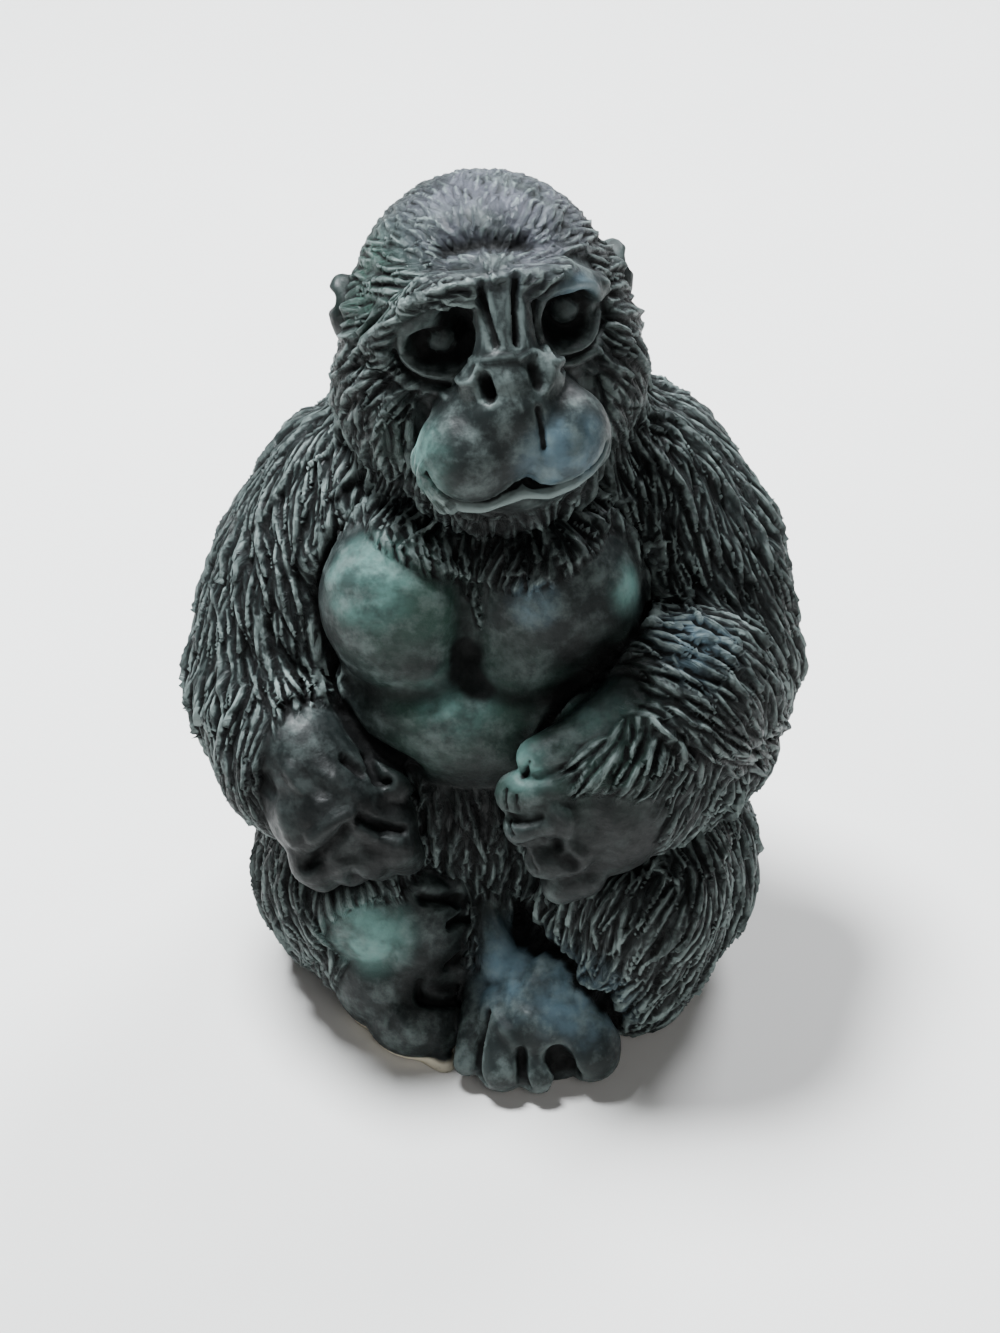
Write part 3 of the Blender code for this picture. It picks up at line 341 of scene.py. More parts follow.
def head_masses():
    ball = partial(Ball, frame=head_frame())
    limb = partial(Limb, frame=head_frame())
    yield ball("head", (0, 0.4, 1.0), SKULL)
    yield ball("head", (0.2, -3.2, 7.0), (6.6, 3.4, 3.2))
    yield ball("face", (0, -5.0, -1.6), (9.0, 5.0, 6.2))
    yield ball("face", (0, -9.6, -6.6), (6.6, 5.0, 5.2))
    yield ball("face", (0, -8.4, -11.4), (6.0, 4.3, 3.2))
    yield ball("head", (0, -4.0, -11.5), (7.8, 6.6, 6.4))
    yield limb("face", (0, -8.2, 4.6), 2.6, (0, -9.8, 1.4), 2.6)
    yield limb("face", (0, -9.8, 1.4), 2.6, (-0.1, -10.6, -1.6), 3.0)
    yield ball("face", (-3.3, -10.8, -8.1), (4.6, 4.1, 4.4))
    yield ball("face", (3.4, -10.9, -7.7), MUZZLE_LOBE)
    yield ball("face", (0.0, -10.6, -5.6), (5.0, 3.8, 4.0))
    # the nose: a broad pad that runs into the muzzle, with a wing on each side
    yield ball("face", (0.0, -11.2, -2.1), (3.7, 2.7, 2.5))
    yield ball("face", (-2.0, -11.2, -2.4), (2.1, 2.1, 2.3))
    yield ball("face", (2.5, -11.3, -2.1), (2.1, 2.1, 2.2))
    yield ball("face", (0.0, -11.5, -4.9), (4.3, 3.2, 3.6))
    for side in (-1, 1):
        yield ball("head", (7.0 * side, 0.0, -5.5), (5.4, 7.5, 8.5))
        yield ball("head", (7.9 * side, 0.8, -1.6), (4.1, 6.0, 6.4))
        yield ball("ear", (11.2 * side, 2.0, 0.2), EAR, (0, 8 * side, 24 * side))
        yield limb("face", (5.2 * side, -8.6, 4.7), 1.5, (1.2 * side, -9.4, 5.0), 1.4)
    # the brow: it slants down beside the right eye, and arches over the left one
    yield limb("face", (-8.8, -5.0, -0.6), 1.4, (-6.8, -7.2, 2.4), 1.7)
    yield limb("face", (-6.8, -7.2, 2.4), 1.7, (-5.2, -8.6, 4.7), 1.5)
    yield limb("face", (8.2, -5.6, 2.4), 1.3, (5.2, -8.6, 4.7), 1.5)
    for start, end in zip(LIP, LIP[1:]):
        yield limb("face", start, LIP_RADIUS, end, LIP_RADIUS)


def chest_masses():
    yield Ball("chest", (-7.9, -3.8, 43.2), (7.0, 5.8, 8.2), (-6, 0, 0))
    yield Ball("chest", (5.6, -3.8, 43.8), (7.3, 5.8, 8.2), (-6, 0, 0))
    yield Ball("belly", (-1.0, -3.2, 33.0), (12.0, 8.4, 9.0))


def hand_masses():
    yield Ball("right_hand", (-14.0, -9.8, 25.6), (6.0, 5.6, 5.8))
    yield Limb("right_hand", (-16.2, -7.4, 29.6), 4.5, (-14.6, -9.2, 27.4), 5.0)
    first, last = (-16.0, -12.0, 23.8), (-8.8, -11.4, 25.4)
    for finger in range(4):
        knuckle = between(first, last, finger / 3)
        bend = knuckle + Vector((0.4, -1.6, -1.8))
        tip = knuckle + Vector((1.2, -0.6, -4.2))
        yield Limb("right_hand", knuckle, 2.3, bend, 2.2)
        yield Limb("right_hand", bend, 2.2, tip, 1.8)
    yield Limb("right_hand", (-12.6, -8.6, 29.0), 2.4, (-8.6, -10.2, 28.4), 2.0)

    yield Ball("left_hand", (9.4, -13.4, 28.8), (6.4, 5.0, 7.4))
    yield Limb("left_hand", (10.8, -12.0, 35.0), 3.8, (5.4, -14.0, 31.8), 3.2)
    yield Limb("left_hand", (12.0, -10.4, 38.2), 2.6, (7.6, -13.0, 35.4), 2.6)
    yield Limb("left_hand", (7.6, -13.0, 35.4), 2.6, (3.8, -14.2, 34.8), 1.8)
    knuckles = ((5.6, -15.2, 33.0), (5.8, -16.2, 30.4), (7.0, -16.8, 26.8), (8.0, -16.2, 23.0))
    tips = ((2.2, -15.0, 31.4), (2.8, -16.2, 28.8), (4.8, -16.8, 25.6), (6.0, -16.2, 21.8))
    for knuckle, tip, radius in zip(knuckles, tips, (2.2, 2.1, 2.3, 2.0)):
        yield Limb("left_hand", knuckle, radius, tip, radius - 0.2)


def foot_masses():
    yield Ball("right_foot", (-9.6, -9.4, 5.2), (5.6, 6.2, 7.0))
    yield Ball("right_foot", (-10.6, -9.6, 12.0), (4.4, 4.8, 5.6))
    yield Ball("right_foot", (-6.8, -12.6, 2.6), (5.2, 5.4, 4.4))
    yield Ball("right_foot", (-6.8, -10.4, 9.0), (4.6, 4.4, 8.2))
    # the rim of the base, which shows under this foot
    yield Limb("right_foot", (-11.8, -11.6, 0.2), 1.2, (-4.4, -17.4, 0.2), 1.2)
    stacked = ((-7.4, 14.6, 3.3), (-9.6, 11.0, 3.5), (-11.4, 7.8, 3.1), (-12.8, 4.4, 2.9))
    for toe, (out, up, reach) in enumerate(stacked):
        root = Vector((-6.6, out, up))
        yield Limb("right_foot", root, 2.7 - 0.1 * toe, root + Vector((reach, -0.3, -0.4)), 2.3 - 0.1 * toe)
    yield Limb("left_foot", (5.0, -10.2, 9.0), 3.8, (4.6, -14.6, 6.2), 4.4)
    yield Ball("left_foot", (5.4, -14.8, 3.4), (5.8, 6.0, 5.4))
    yield Ball("left_foot", (4.4, -16.4, 4.6), (6.0, 4.4, 4.4))
    yield Limb("left_foot", (1.4, -12.6, 8.0), 2.6, (-0.1, -9.4, 12.6), 1.6)
    yield Limb("left_foot", (1.4, -12.6, 8.0), 2.6, (6.6, -13.6, 8.2), 3.0)
    for root, root_radius, tip, tip_radius in (
        ((-1.0, -13.6, 6.4), 1.5, (-2.3, -19.4, 2.4), 1.3),
        ((1.2, -15.8, 5.8), 2.5, (0.9, -20.0, 2.6), 2.4),
        ((4.0, -17.0, 5.4), 2.3, (4.2, -20.4, 2.4), 2.1),
        ((8.4, -15.4, 6.0), 3.3, (8.9, -18.8, 3.2), 2.8),
    ):
        yield Limb("left_foot", root, root_radius, tip, tip_radius)


def block_masses():
    return [*trunk_masses(), *chest_masses(), *leg_masses(), *arm_masses()]


def form_masses():
    return [*head_masses(), *hand_masses(), *foot_masses()]


def fused(meshes, masses, voxel):
    """One closed skin around everything given."""
    clay = bmesh.new()
    for mesh in meshes:
        clay.from_mesh(mesh)
    for mass in masses:
        mass.add_to(clay)
    lump = bpy.data.objects.new("lump", mesh_from(clay))
    bpy.context.scene.collection.objects.link(lump)
    skin = lump.modifiers.new("skin", "REMESH")
    skin.mode = "VOXEL"
    skin.voxel_size = voxel
    evaluated = lump.evaluated_get(bpy.context.evaluated_depsgraph_get())
    made = bpy.data.meshes.new_from_object(evaluated)
    bpy.data.objects.remove(lump)
    return made


def read(collection, attribute, width):
    values = np.empty(len(collection) * width, np.float32)
    collection.foreach_get(attribute, values)
    return values.reshape(-1, width).astype(float)


def points_of(mesh):
    return read(mesh.vertices, "co", 3)


def normals_of(mesh):
    return read(mesh.vertices, "normal", 3)


def edges_of(mesh):
    ends = np.empty(len(mesh.edges) * 2, np.int32)
    mesh.edges.foreach_get("vertices", ends)
    return ends.reshape(-1, 2)


def put_points(mesh, points):
    mesh.vertices.foreach_set("co", points.astype(np.float32).ravel())
    mesh.update()


def averaged(values, ends):
    """Each vertex's mean over its neighbours."""
    count = len(values)
    columns = values.reshape(count, -1)
    degree = np.maximum(np.bincount(ends.ravel(), minlength=count), 1)
    total = np.empty_like(columns)
    for k in range(columns.shape[1]):
        total[:, k] = np.bincount(ends[:, 0], columns[ends[:, 1], k], count)
        total[:, k] += np.bincount(ends[:, 1], columns[ends[:, 0], k], count)
    return (total / degree[:, None]).reshape(values.shape)


def smoothed(values, ends, rounds, keep=0.0):
    """Keep above 0 pushes back out after each round, so that a shape loses little volume."""
    for _ in range(rounds):
        values = values + 0.5 * (averaged(values, ends) - values)
        if keep:
            values = values - 0.5 * keep * (averaged(values, ends) - values)
    return values


def rounds_over(area, voxel=FINE_VOXEL):
    """How many rounds of smoothing spread over this area."""
    return round(area / voxel**2)


def modelled_clay(block_voxel, clay_voxel):
    """The whole figure before any stroke: soft big masses, then crisper forms fused onto them."""
    block = fused([], block_masses(), block_voxel)
    rounds = rounds_over(BLOCK_AREA, block_voxel)
    put_points(block, smoothed(points_of(block), edges_of(block), rounds))
    clay = fused([block], form_masses(), clay_voxel)
    rounds = rounds_over(CLAY_AREA, clay_voxel)
    put_points(clay, smoothed(points_of(clay), edges_of(clay), rounds, keep=0.5))
    return clay


def part_distances(points):
    """For each named part, every point's distance from its clay."""
    found = {}
    for mass in block_masses() + form_masses():
        gap = mass.distance(points)
        found[mass.part] = np.minimum(found[mass.part], gap) if mass.part in found else gap
    return found


class Knife:
    """Strokes that cut or raise the skin along a drawn line."""

    def __init__(self, mesh):
        self.points = points_of(mesh)
        self.normals = normals_of(mesh)
        self.lift = np.zeros(len(self.points))
        self.balls = []
        polygons = [tuple(polygon.vertices) for polygon in mesh.polygons]
        self.tree = BVHTree.FromPolygons([Vector(point) for point in self.points], polygons)
        self.frame = head_frame()
        # Each point moves along a softened normal, so that a deep cut stays open
        ends = edges_of(mesh)
        self.way = smoothed(self.normals, ends, rounds_over(SLOPE_AREA))
        self.way /= np.linalg.norm(self.way, axis=1)[:, None]

    def on_face(self, x, z):
        """The skin under a point drawn on the face, as seen from straight in front of it."""
        start = self.frame @ Vector((x, -30, z))
        way = self.frame.to_3x3() @ Vector((0, 1, 0))
        return self.tree.ray_cast(start, way)[0] or start

    def on_skin(self, place):
        return self.tree.find_nearest(Vector(place))[0]

    def line(self, path):
        """A drawn line, rounded through its points and laid on the skin."""
        found = []
        for first, second, third, fourth in zip([path[0], *path], path, path[1:], [*path[2:], path[-1]]):
            for step in range(4):
                found.append(rounded(first, second, third, fourth, step / 4))
        found.append(Vector(path[-1]))
        lay = self.on_skin if len(path[0]) == 3 else lambda point: self.on_face(*point)
        return [lay(point) for point in found]

    def stroke(self, path, width, depth, sharp=1.0):
        """Cuts a line depth deep, or raises it where depth is negative. Width is to where it fades out."""
        line = self.line(path)
        low = np.min(line, axis=0) - width
        high = np.max(line, axis=0) + width
        near = np.nonzero(((self.points > low) & (self.points < high)).all(axis=1))[0]
        gap = distance_to_line(self.points[near], line)
        fade = np.clip(1 - (gap / width) ** 2, 0, 1) ** (1 + sharp)
        self.lift[near] -= depth * fade

    def eyeball(self, place, radius, sunk):
        """A round eye whose front lies sunk below the skin that was there."""
        skin = self.frame.inverted() @ self.on_face(*place)
        self.balls.append((skin + Vector((0, sunk + radius, 0)), radius))

    def shaped(self):
        """Every point where the strokes leave it, with the eyeballs set in, and which points are on those."""
        local = transformed(self.points + self.lift[:, None] * self.way, self.frame.inverted())
        on_ball = np.zeros(len(local), bool)
        for centre, radius in self.balls:
            away = local - np.array(centre)
            beside = np.hypot(away[:, 0], away[:, 2]) / radius
            front = -radius * np.sqrt(np.clip(1 - beside**2, 0, 1))
            under = (beside < 1) & (away[:, 1] > front) & (away[:, 1] < radius)
            local[under, 1] = centre[1] + front[under]
            on_ball |= under
        return transformed(local, self.frame), on_ball


def rounded(before, start, end, after, share):
    """A point share of the way from start to end on a smooth curve through all four."""
    before, start, end, after = (Vector(point) for point in (before, start, end, after))
    a = 2 * start
    b = end - before
    c = 2 * before - 5 * start + 4 * end - after
    d = 3 * start - before - 3 * end + after
    return 0.5 * (a + b * share + c * share**2 + d * share**3)


def distance_to_line(points, line):
    best = np.full(len(points), np.inf)
    for start, end in zip(line, line[1:]):
        start, way = np.array(start), np.array(end - start)
        share = np.clip((points - start) @ way / max(way @ way, 1e-9), 0, 1)
        best = np.minimum(best, np.linalg.norm(points - start - share[:, None] * way, axis=1))
    return best


def carve_eyes(knife):
    # sockets: the right one is a dark triangle under a slanting brow, the left one is round
    knife.stroke([(-6.0, 0.2), (-4.4, 0.1), (-3.6, 1.4)], 1.9, 2.0, 0.4)
    knife.stroke([(-4.6, 1.2), (-3.4, 3.2)], 1.4, 1.5, 0.4)
    knife.stroke([(5.4, 1.2), (6.0, 1.2)], 2.6, 2.8, 0.3)
    knife.eyeball((-4.6, 0.3), 1.25, 1.25)
    knife.eyeball((5.7, 1.2), 1.4, 1.35)
    # lower lids, and the bags under them
    lid = [(-7.8, 1.0), (-7.8, -0.6), (-6.4, -1.7), (-4.6, -2.0), (-3.0, -1.3), (-2.4, -0.4)]
    knife.stroke(lid, 0.50, -0.35)
    knife.stroke([(-8.5, -0.2), (-8.0, -1.6), (-6.3, -2.6), (-4.6, -2.7)], 0.36, 0.40)
    knife.stroke([(-9.2, -0.2), (-8.7, -2.0), (-6.4, -3.3), (-5.0, -3.4)], 0.50, -0.28)
    knife.stroke([(2.9, 1.0), (3.5, -0.6), (5.2, -1.4), (7.2, -1.2), (8.4, 0.4)], 0.42, -0.32)
    knife.stroke([(4.2, -1.6), (5.2, -2.0), (7.6, -1.8), (8.8, -0.6)], 0.34, 0.36)
    knife.stroke([(4.8, -2.4), (6.0, -2.6), (8.0, -2.3)], 0.42, -0.25)
    # the upper rim of the left eye
    knife.stroke([(2.8, 2.4), (3.8, 4.0), (5.8, 4.5), (7.8, 3.5), (8.5, 1.8)], 0.6, -0.25)


def carve_brow(knife):
    knife.stroke([(-7.2, 4.2), (-5.0, 5.4), (-2.3, 5.8), (0.2, 6.0)], 0.50, -0.40)
    knife.stroke([(0.9, 6.1), (2.8, 5.9), (5.6, 5.4)], 0.8, -0.25)
    # the hollow under the front edge of the crown
    knife.stroke([(-3.6, 7.5), (-0.6, 8.0), (2.8, 7.4)], 1.5, 0.75)
    # furrows between the eyes: two long dark ones, and a short one beside the left socket
    knife.stroke([(-1.5, 5.7), (-1.5, 3.8), (-1.0, 1.3)], 0.50, 0.9, 0.2)
    knife.stroke([(1.3, 5.9), (1.1, 3.8), (0.8, 1.3)], 0.46, 0.9, 0.2)
    knife.stroke([(2.8, 3.4), (2.6, 0.9)], 0.40, 0.6, 0.3)


def carve_nose(knife):
    knife.stroke([(-2.3, -1.2), (-2.0, -2.4)], 0.80, 1.5, 0.3)
    knife.stroke([(1.9, -0.8), (2.1, -2.0)], 0.85, 0.7, 0.3)
    # the top edge, and the wings: soft on the right, a thin bright loop on the left
    knife.stroke([(-3.0, -0.3), (-1.4, 0.3), (0.2, 0.4)], 0.45, -0.20)
    knife.stroke([(0.8, 0.1), (2.1, 0.2), (3.1, -0.6), (3.2, -1.8), (2.6, -2.8)], 0.42, -0.25)
    knife.stroke([(-0.4, -0.8), (0.0, -2.2), (0.4, -3.6)], 0.45, -0.15)


def carve_mouth(knife):
    knife.stroke(MOUTH, 0.38, 0.65, 0.3)
    knife.stroke([(1.8, -3.8), (1.9, -5.4), (1.8, -7.0)], 0.48, 0.40)
    knife.stroke([(1.8, -7.0), (1.4, -8.8), (0.8, -10.2)], 0.9, 0.25)
    # the folds beside the muzzle
    knife.stroke([(-7.8, -5.0), (-8.4, -7.4), (-8.2, -10.0)], 0.6, 0.4)
    knife.stroke([(7.7, -4.4), (8.3, -6.6), (8.1, -9.0)], 0.6, 0.4)


def carve_chest(knife):
    # the lower edges of the two breast muscles, and the valley between them
    knife.stroke([(-11.7, -6.2, 35.6), (-7.9, -9.0, 37.0), (-4.6, -9.5, 38.0), (-2.4, -8.2, 40.6)], 2.0, 0.60)
    knife.stroke([(-1.0, -9.6, 38.6), (2.4, -9.9, 37.4), (6.7, -9.2, 38.2), (10.0, -8.5, 41.6)], 2.0, 0.60)
    knife.stroke([(-2.0, -6.8, 47.0), (-1.8, -8.2, 42.0), (-1.6, -9.4, 38.4)], 2.4, 0.60)
    knife.stroke([(-12.6, -4.4, 46.0), (-8.0, -7.0, 48.0), (-4.0, -7.4, 46.0)], 1.4, -0.25)


def carve_ears(knife):
    frame = head_frame()
    for side in (-1, 1):
        rim = [frame @ Vector((11.8 * side, y, z)) for y, z in ((1.2, 1.6), (2.4, 1.0), (2.6, -1.0))]
        knife.stroke([tuple(place) for place in rim], 1.2, 1.0)


def carve_hands(knife):
    strokes = (
        # left hand: the thumb's nail, nicks on the finger tips, and the soft gaps between the curled fingers
        ([(2.5, -15.2, 33.9), (3.1, -15.5, 35.4)], 0.60, 0.45),
        ([(1.2, -16.0, 32.8), (1.2, -16.7, 31.1)], 0.28, 0.35),
        ([(2.1, -16.6, 32.6), (2.2, -17.0, 31.2)], 0.28, 0.30),
        ([(1.3, -16.8, 29.8), (1.7, -17.8, 29.1)], 0.30, 0.35),
        ([(3.0, -17.8, 26.4), (3.6, -18.6, 25.7)], 0.70, 0.35),
        ([(1.2, -16.6, 30.2), (2.6, -17.4, 30.4), (4.0, -17.6, 31.0)], 0.75, 0.50),
        ([(2.6, -18.0, 27.6), (4.4, -18.8, 28.2)], 0.80, 0.55),
        ([(4.2, -18.8, 23.8), (6.2, -18.6, 23.8)], 0.90, 0.55),
        ([(5.4, -17.4, 32.0), (6.4, -18.1, 31.2), (6.2, -18.0, 27.6)], 1.00, -0.40),
        ([(5.8, -18.1, 28.0), (7.0, -18.9, 26.6)], 1.10, 0.80),
        ([(3.4, -15.0, 33.6), (5.4, -15.8, 34.0), (7.4, -15.4, 34.6)], 1.10, 0.40),
        ([(8.4, -18.2, 31.0), (9.6, -18.4, 28.6), (9.2, -17.6, 25.0)], 1.60, 0.30),
        ([(11.4, -17.4, 31.6), (12.2, -17.6, 28.6)], 1.40, 0.25),
        # right hand: a fist from above, with black tears beside the thumb and soft folds over the knuckles
        ([(-12.6, -10.8, 31.6), (-11.2, -11.3, 30.4)], 0.80, 0.80),
        ([(-11.0, -9.2, 30.4), (-9.9, -10.5, 28.9), (-9.0, -11.3, 29.4)], 0.60, 1.00, 0.2),
        ([(-19.9, -10.3, 29.2), (-19.3, -11.4, 28.5)], 1.10, 0.45),
        ([(-16.0, -12.6, 30.8), (-14.6, -13.1, 30.1)], 1.20, 0.50),
        ([(-17.4, -11.7, 31.1), (-16.4, -12.7, 30.4)], 1.20, -0.45),
        ([(-13.6, -12.4, 30.6), (-11.8, -13.2, 29.2)], 1.20, -0.40),
        ([(-15.4, -15.1, 26.3), (-13.8, -15.0, 27.9), (-12.2, -14.2, 28.4)], 1.00, -0.50),
        ([(-16.0, -15.1, 23.0), (-14.4, -14.6, 24.9), (-12.6, -14.8, 27.2)], 0.90, 0.70),
        ([(-11.4, -14.1, 27.8), (-9.6, -13.6, 26.1), (-7.9, -13.5, 25.7)], 0.80, 0.65),
        ([(-11.6, -14.4, 27.1), (-9.9, -13.8, 24.6)], 1.10, -0.40),
        ([(-10.3, -13.9, 25.7), (-8.2, -14.5, 24.9)], 1.00, -0.35),
        ([(-18.2, -13.4, 27.6), (-17.2, -14.4, 25.2)], 1.30, -0.35),
        ([(-13.7, -15.2, 23.8), (-10.3, -14.8, 21.4)], 1.20, -0.35),
        ([(-12.4, -15.2, 22.6), (-11.8, -14.8, 20.4)], 0.90, 0.45),
    )
    for stroke in strokes:
        knife.stroke(*stroke)


def carve_feet(knife):
    strokes = (
        # soft slots between the stacked toes of the right foot
        ([(-6.4, -11.6, 15.6), (-5.2, -11.0, 14.6), (-3.4, -10.4, 14.0)], 1.00, 0.85),
        ([(-5.6, -11.2, 12.4), (-2.4, -10.8, 12.1)], 0.75, 0.80),
        ([(-4.6, -12.8, 9.0), (-2.4, -12.8, 9.3)], 0.85, 0.75),
        ([(-6.4, -15.2, 6.1), (-4.8, -15.0, 5.3), (-3.2, -14.8, 5.6)], 0.90, 0.85),
        ([(-6.6, -13.8, 8.0), (-6.7, -15.0, 6.2)], 0.60, 0.45),
        ([(-7.8, -14.2, 11.0), (-6.2, -13.8, 10.4)], 1.20, -0.30),
        ([(-8.4, -15.6, 5.4), (-6.8, -16.4, 3.4)], 1.30, -0.30),
        # left foot: the V of its top, the gap beside the thin first toe, and the hollow before the outer one
        ([(0.6, -10.4, 12.8), (2.4, -12.6, 11.4), (3.8, -13.7, 11.2)], 1.0, 0.45),
        ([(5.2, -12.0, 12.4), (3.8, -13.7, 11.2), (2.8, -15.6, 9.2)], 1.1, 0.40),
        ([(-0.5, -17.4, 6.8), (-0.8, -19.0, 4.6), (-1.0, -21.6, 2.0)], 0.60, 1.0, 0.2),
        ([(2.6, -20.2, 5.2), (2.7, -21.4, 3.6), (2.8, -22.6, 2.0)], 0.70, 0.65),
        ([(5.8, -20.6, 4.6), (6.6, -21.0, 3.0), (6.8, -21.4, 1.2)], 1.40, 1.3, 0.2),
        ([(0.2, -17.4, 8.6), (1.4, -18.8, 7.2)], 1.1, 0.30),
        ([(3.2, -18.6, 7.6), (4.6, -19.4, 6.8)], 1.1, -0.35),
        ([(1.2, -19.2, 6.6), (2.2, -20.4, 5.4)], 1.0, -0.30),
        ([(5.2, -17.4, 8.8), (7.4, -17.6, 8.4), (9.6, -17.4, 7.4)], 1.2, 0.30),
    )
    for stroke in strokes:
        knife.stroke(*stroke)


def carve(knife):
    """Every stroke on the skin."""
    carve_eyes(knife)
    carve_brow(knife)
    carve_nose(knife)
    carve_mouth(knife)
    carve_ears(knife)
    carve_chest(knife)
    carve_hands(knife)
    carve_feet(knife)


def cut_creases(knife, parts):
    """A slit wherever two limbs, or a limb and the trunk, lie against each other."""
    right_arm = np.minimum.reduce([parts["right_arm"], parts["right_forearm"], parts["right_hand"]])
    left_arm = np.minimum.reduce([parts["left_arm"], parts["left_forearm"], parts["left_hand"]])
    right_leg = np.minimum(parts["right_thigh"], parts["right_shin"])
    left_leg = np.minimum(parts["left_thigh"], parts["left_shin"])
    breast = np.minimum(parts["chest"], parts["belly"])
    front = knife.points[:, 1] < 2
    pairs = ((right_arm, breast), (left_arm, breast), (right_arm, right_leg), (left_arm, left_leg),
             (left_leg, parts["left_foot"]))
    for one, other in pairs:
        meet = np.exp(-(((one - other) / CREASE_WIDTH) ** 2)) * (np.maximum(one, other) < 2.0)
        knife.lift -= CREASE_DEPTH * meet * front


def bare_face(local):
    """How far inside the bare face each point lies, in millimetres."""
    inside = np.full(len(local), -9.0)
    for (x, z), (wide, high) in BARE_FACE:
        reach = np.hypot((local[:, 0] - x) / wide, (local[:, 2] - z) / high)
        inside = np.maximum(inside, (1 - reach) * min(wide, high))
    inside[local[:, 1] > -5.0] = -9.0
    return inside


def fur_mask(points, parts, ends):
    """1 where there is fur and 0 on smooth skin, with a short fade between them."""
    hairy = np.minimum.reduce([gap for name, gap in parts.items() if name not in (*SMOOTH_SKIN, "face")])
    bare = np.minimum.reduce([gap for name, gap in parts.items() if name in SMOOTH_SKIN])
    mask = np.clip(0.5 + (bare - hairy) / 1.0, 0, 1)
    local = transformed(points, head_frame().inverted())
    beard_end = BEARD_END - 1.6 * np.cos(points[:, 0] / 3.4)
    mask[(local[:, 2] < -14.6) & (points[:, 2] > beard_end)] = 1
    mask *= np.clip(0.5 - bare_face(local) / 0.6, 0, 1)
    for centre, radius in BARE_SPOTS:
        mask *= np.clip(np.linalg.norm(points - np.array(centre), axis=1) - radius + 0.5, 0, 1)
    mask *= np.clip((parts["ear"] - 0.2) / 0.6, 0, 1)
    return np.clip(smoothed(mask, ends, 2), 0, 1)


def clump_share(points):
    """How high the clumps stand: in full on the body, and low on the crown of the head."""
    local = transformed(points, head_frame().inverted())
    crown = np.clip((local[:, 2] - 1.0) / 4.0, 0, 1) * (np.linalg.norm(local, axis=1) < 15)
    return 1 - 0.85 * crown


def flow_of(points, normals, parts, ends):
    """The way the fur lies at each point: down the body, and back from the face."""
    way = np.tile((0.0, 0.0, -1.0), (len(points), 1))
    way[:, 0] += 0.012 * points[:, 0]
    names = [name for name in parts if name not in SMOOTH_SKIN]
    nearest = np.argmin([parts[name] for name in names], axis=0)
    for part, lie in LIE.items():
        way[nearest == names.index(part)] = lie
    fringe = np.interp(points[:, 0], (9, 11, 14.9, 18.6, 22.6), (39.0, 38.6, 37.8, 34.6, 25.2))
    above = (nearest == names.index("left_forearm")) & (points[:, 2] > fringe)
    way[above] = (0.8, -0.1, -0.55)
    frame = head_frame()
    local = transformed(points, frame.inverted())
    from_face = local - np.array((0.0, -9.0, 4.0))
    from_face = from_face @ np.array(frame.to_3x3()).T
    from_face /= np.linalg.norm(from_face, axis=1)[:, None]
    head = np.clip((local[:, 2] + 12) / 8, 0, 1) * np.clip(1 - (np.linalg.norm(local, axis=1) - 13) / 4, 0, 1)
    way = way * (1 - head[:, None]) + from_face * head[:, None]
    way = smoothed(way, ends, rounds_over(LIE_AREA))
    way[:, 0] += 0.22 * np.sin(points[:, 2] / 1.7 + points[:, 0] / 2.6)
    way -= np.sum(way * normals, axis=1)[:, None] * normals
    return way / np.maximum(np.linalg.norm(way, axis=1), 1e-6)[:, None]


def scattered(points, mask, spacing, dice):
    """Vertices on the fur no nearer each other than the spacing."""
    order = list(np.nonzero(mask > 0.5)[0])
    dice.shuffle(order)
    taken, kept = {}, []
    steps = [(i, j, m) for i in (-1, 0, 1) for j in (-1, 0, 1) for m in (-1, 0, 1)]
    for k in order:
        place = points[k]
        cell = tuple(int(v // spacing) for v in place)
        around = (taken.get((cell[0] + i, cell[1] + j, cell[2] + m), ()) for i, j, m in steps)
        gaps = (place - points[other] for group in around for other in group)
        if any(gap @ gap < spacing**2 for gap in gaps):
            continue
        taken.setdefault(cell, []).append(k)
        kept.append(k)
    return kept


class Nearby:
    """Finds the vertices round a place, by cells."""

    def __init__(self, points, size):
        self.size = size
        cells = np.floor(points / size).astype(np.int64)
        self.low = cells.min(axis=0) - 1
        self.span = cells.max(axis=0) - self.low + 2
        keys = self.key(cells)
        self.order = np.argsort(keys, kind="stable")
        self.keys = keys[self.order]

    def key(self, cells):
        offset = cells - self.low
        return (offset[..., 0] * self.span[1] + offset[..., 1]) * self.span[2] + offset[..., 2]

    def around(self, place):
        cell = np.floor(place / self.size).astype(np.int64)
        steps = np.array([(i, j, -1) for i in (-1, 0, 1) for j in (-1, 0, 1)])
        first = self.key(cell + steps)
        starts = np.searchsorted(self.keys, first, "left")
        stops = np.searchsorted(self.keys, first + 2, "right")
        return np.concatenate([self.order[a:b] for a, b in zip(starts, stops)])


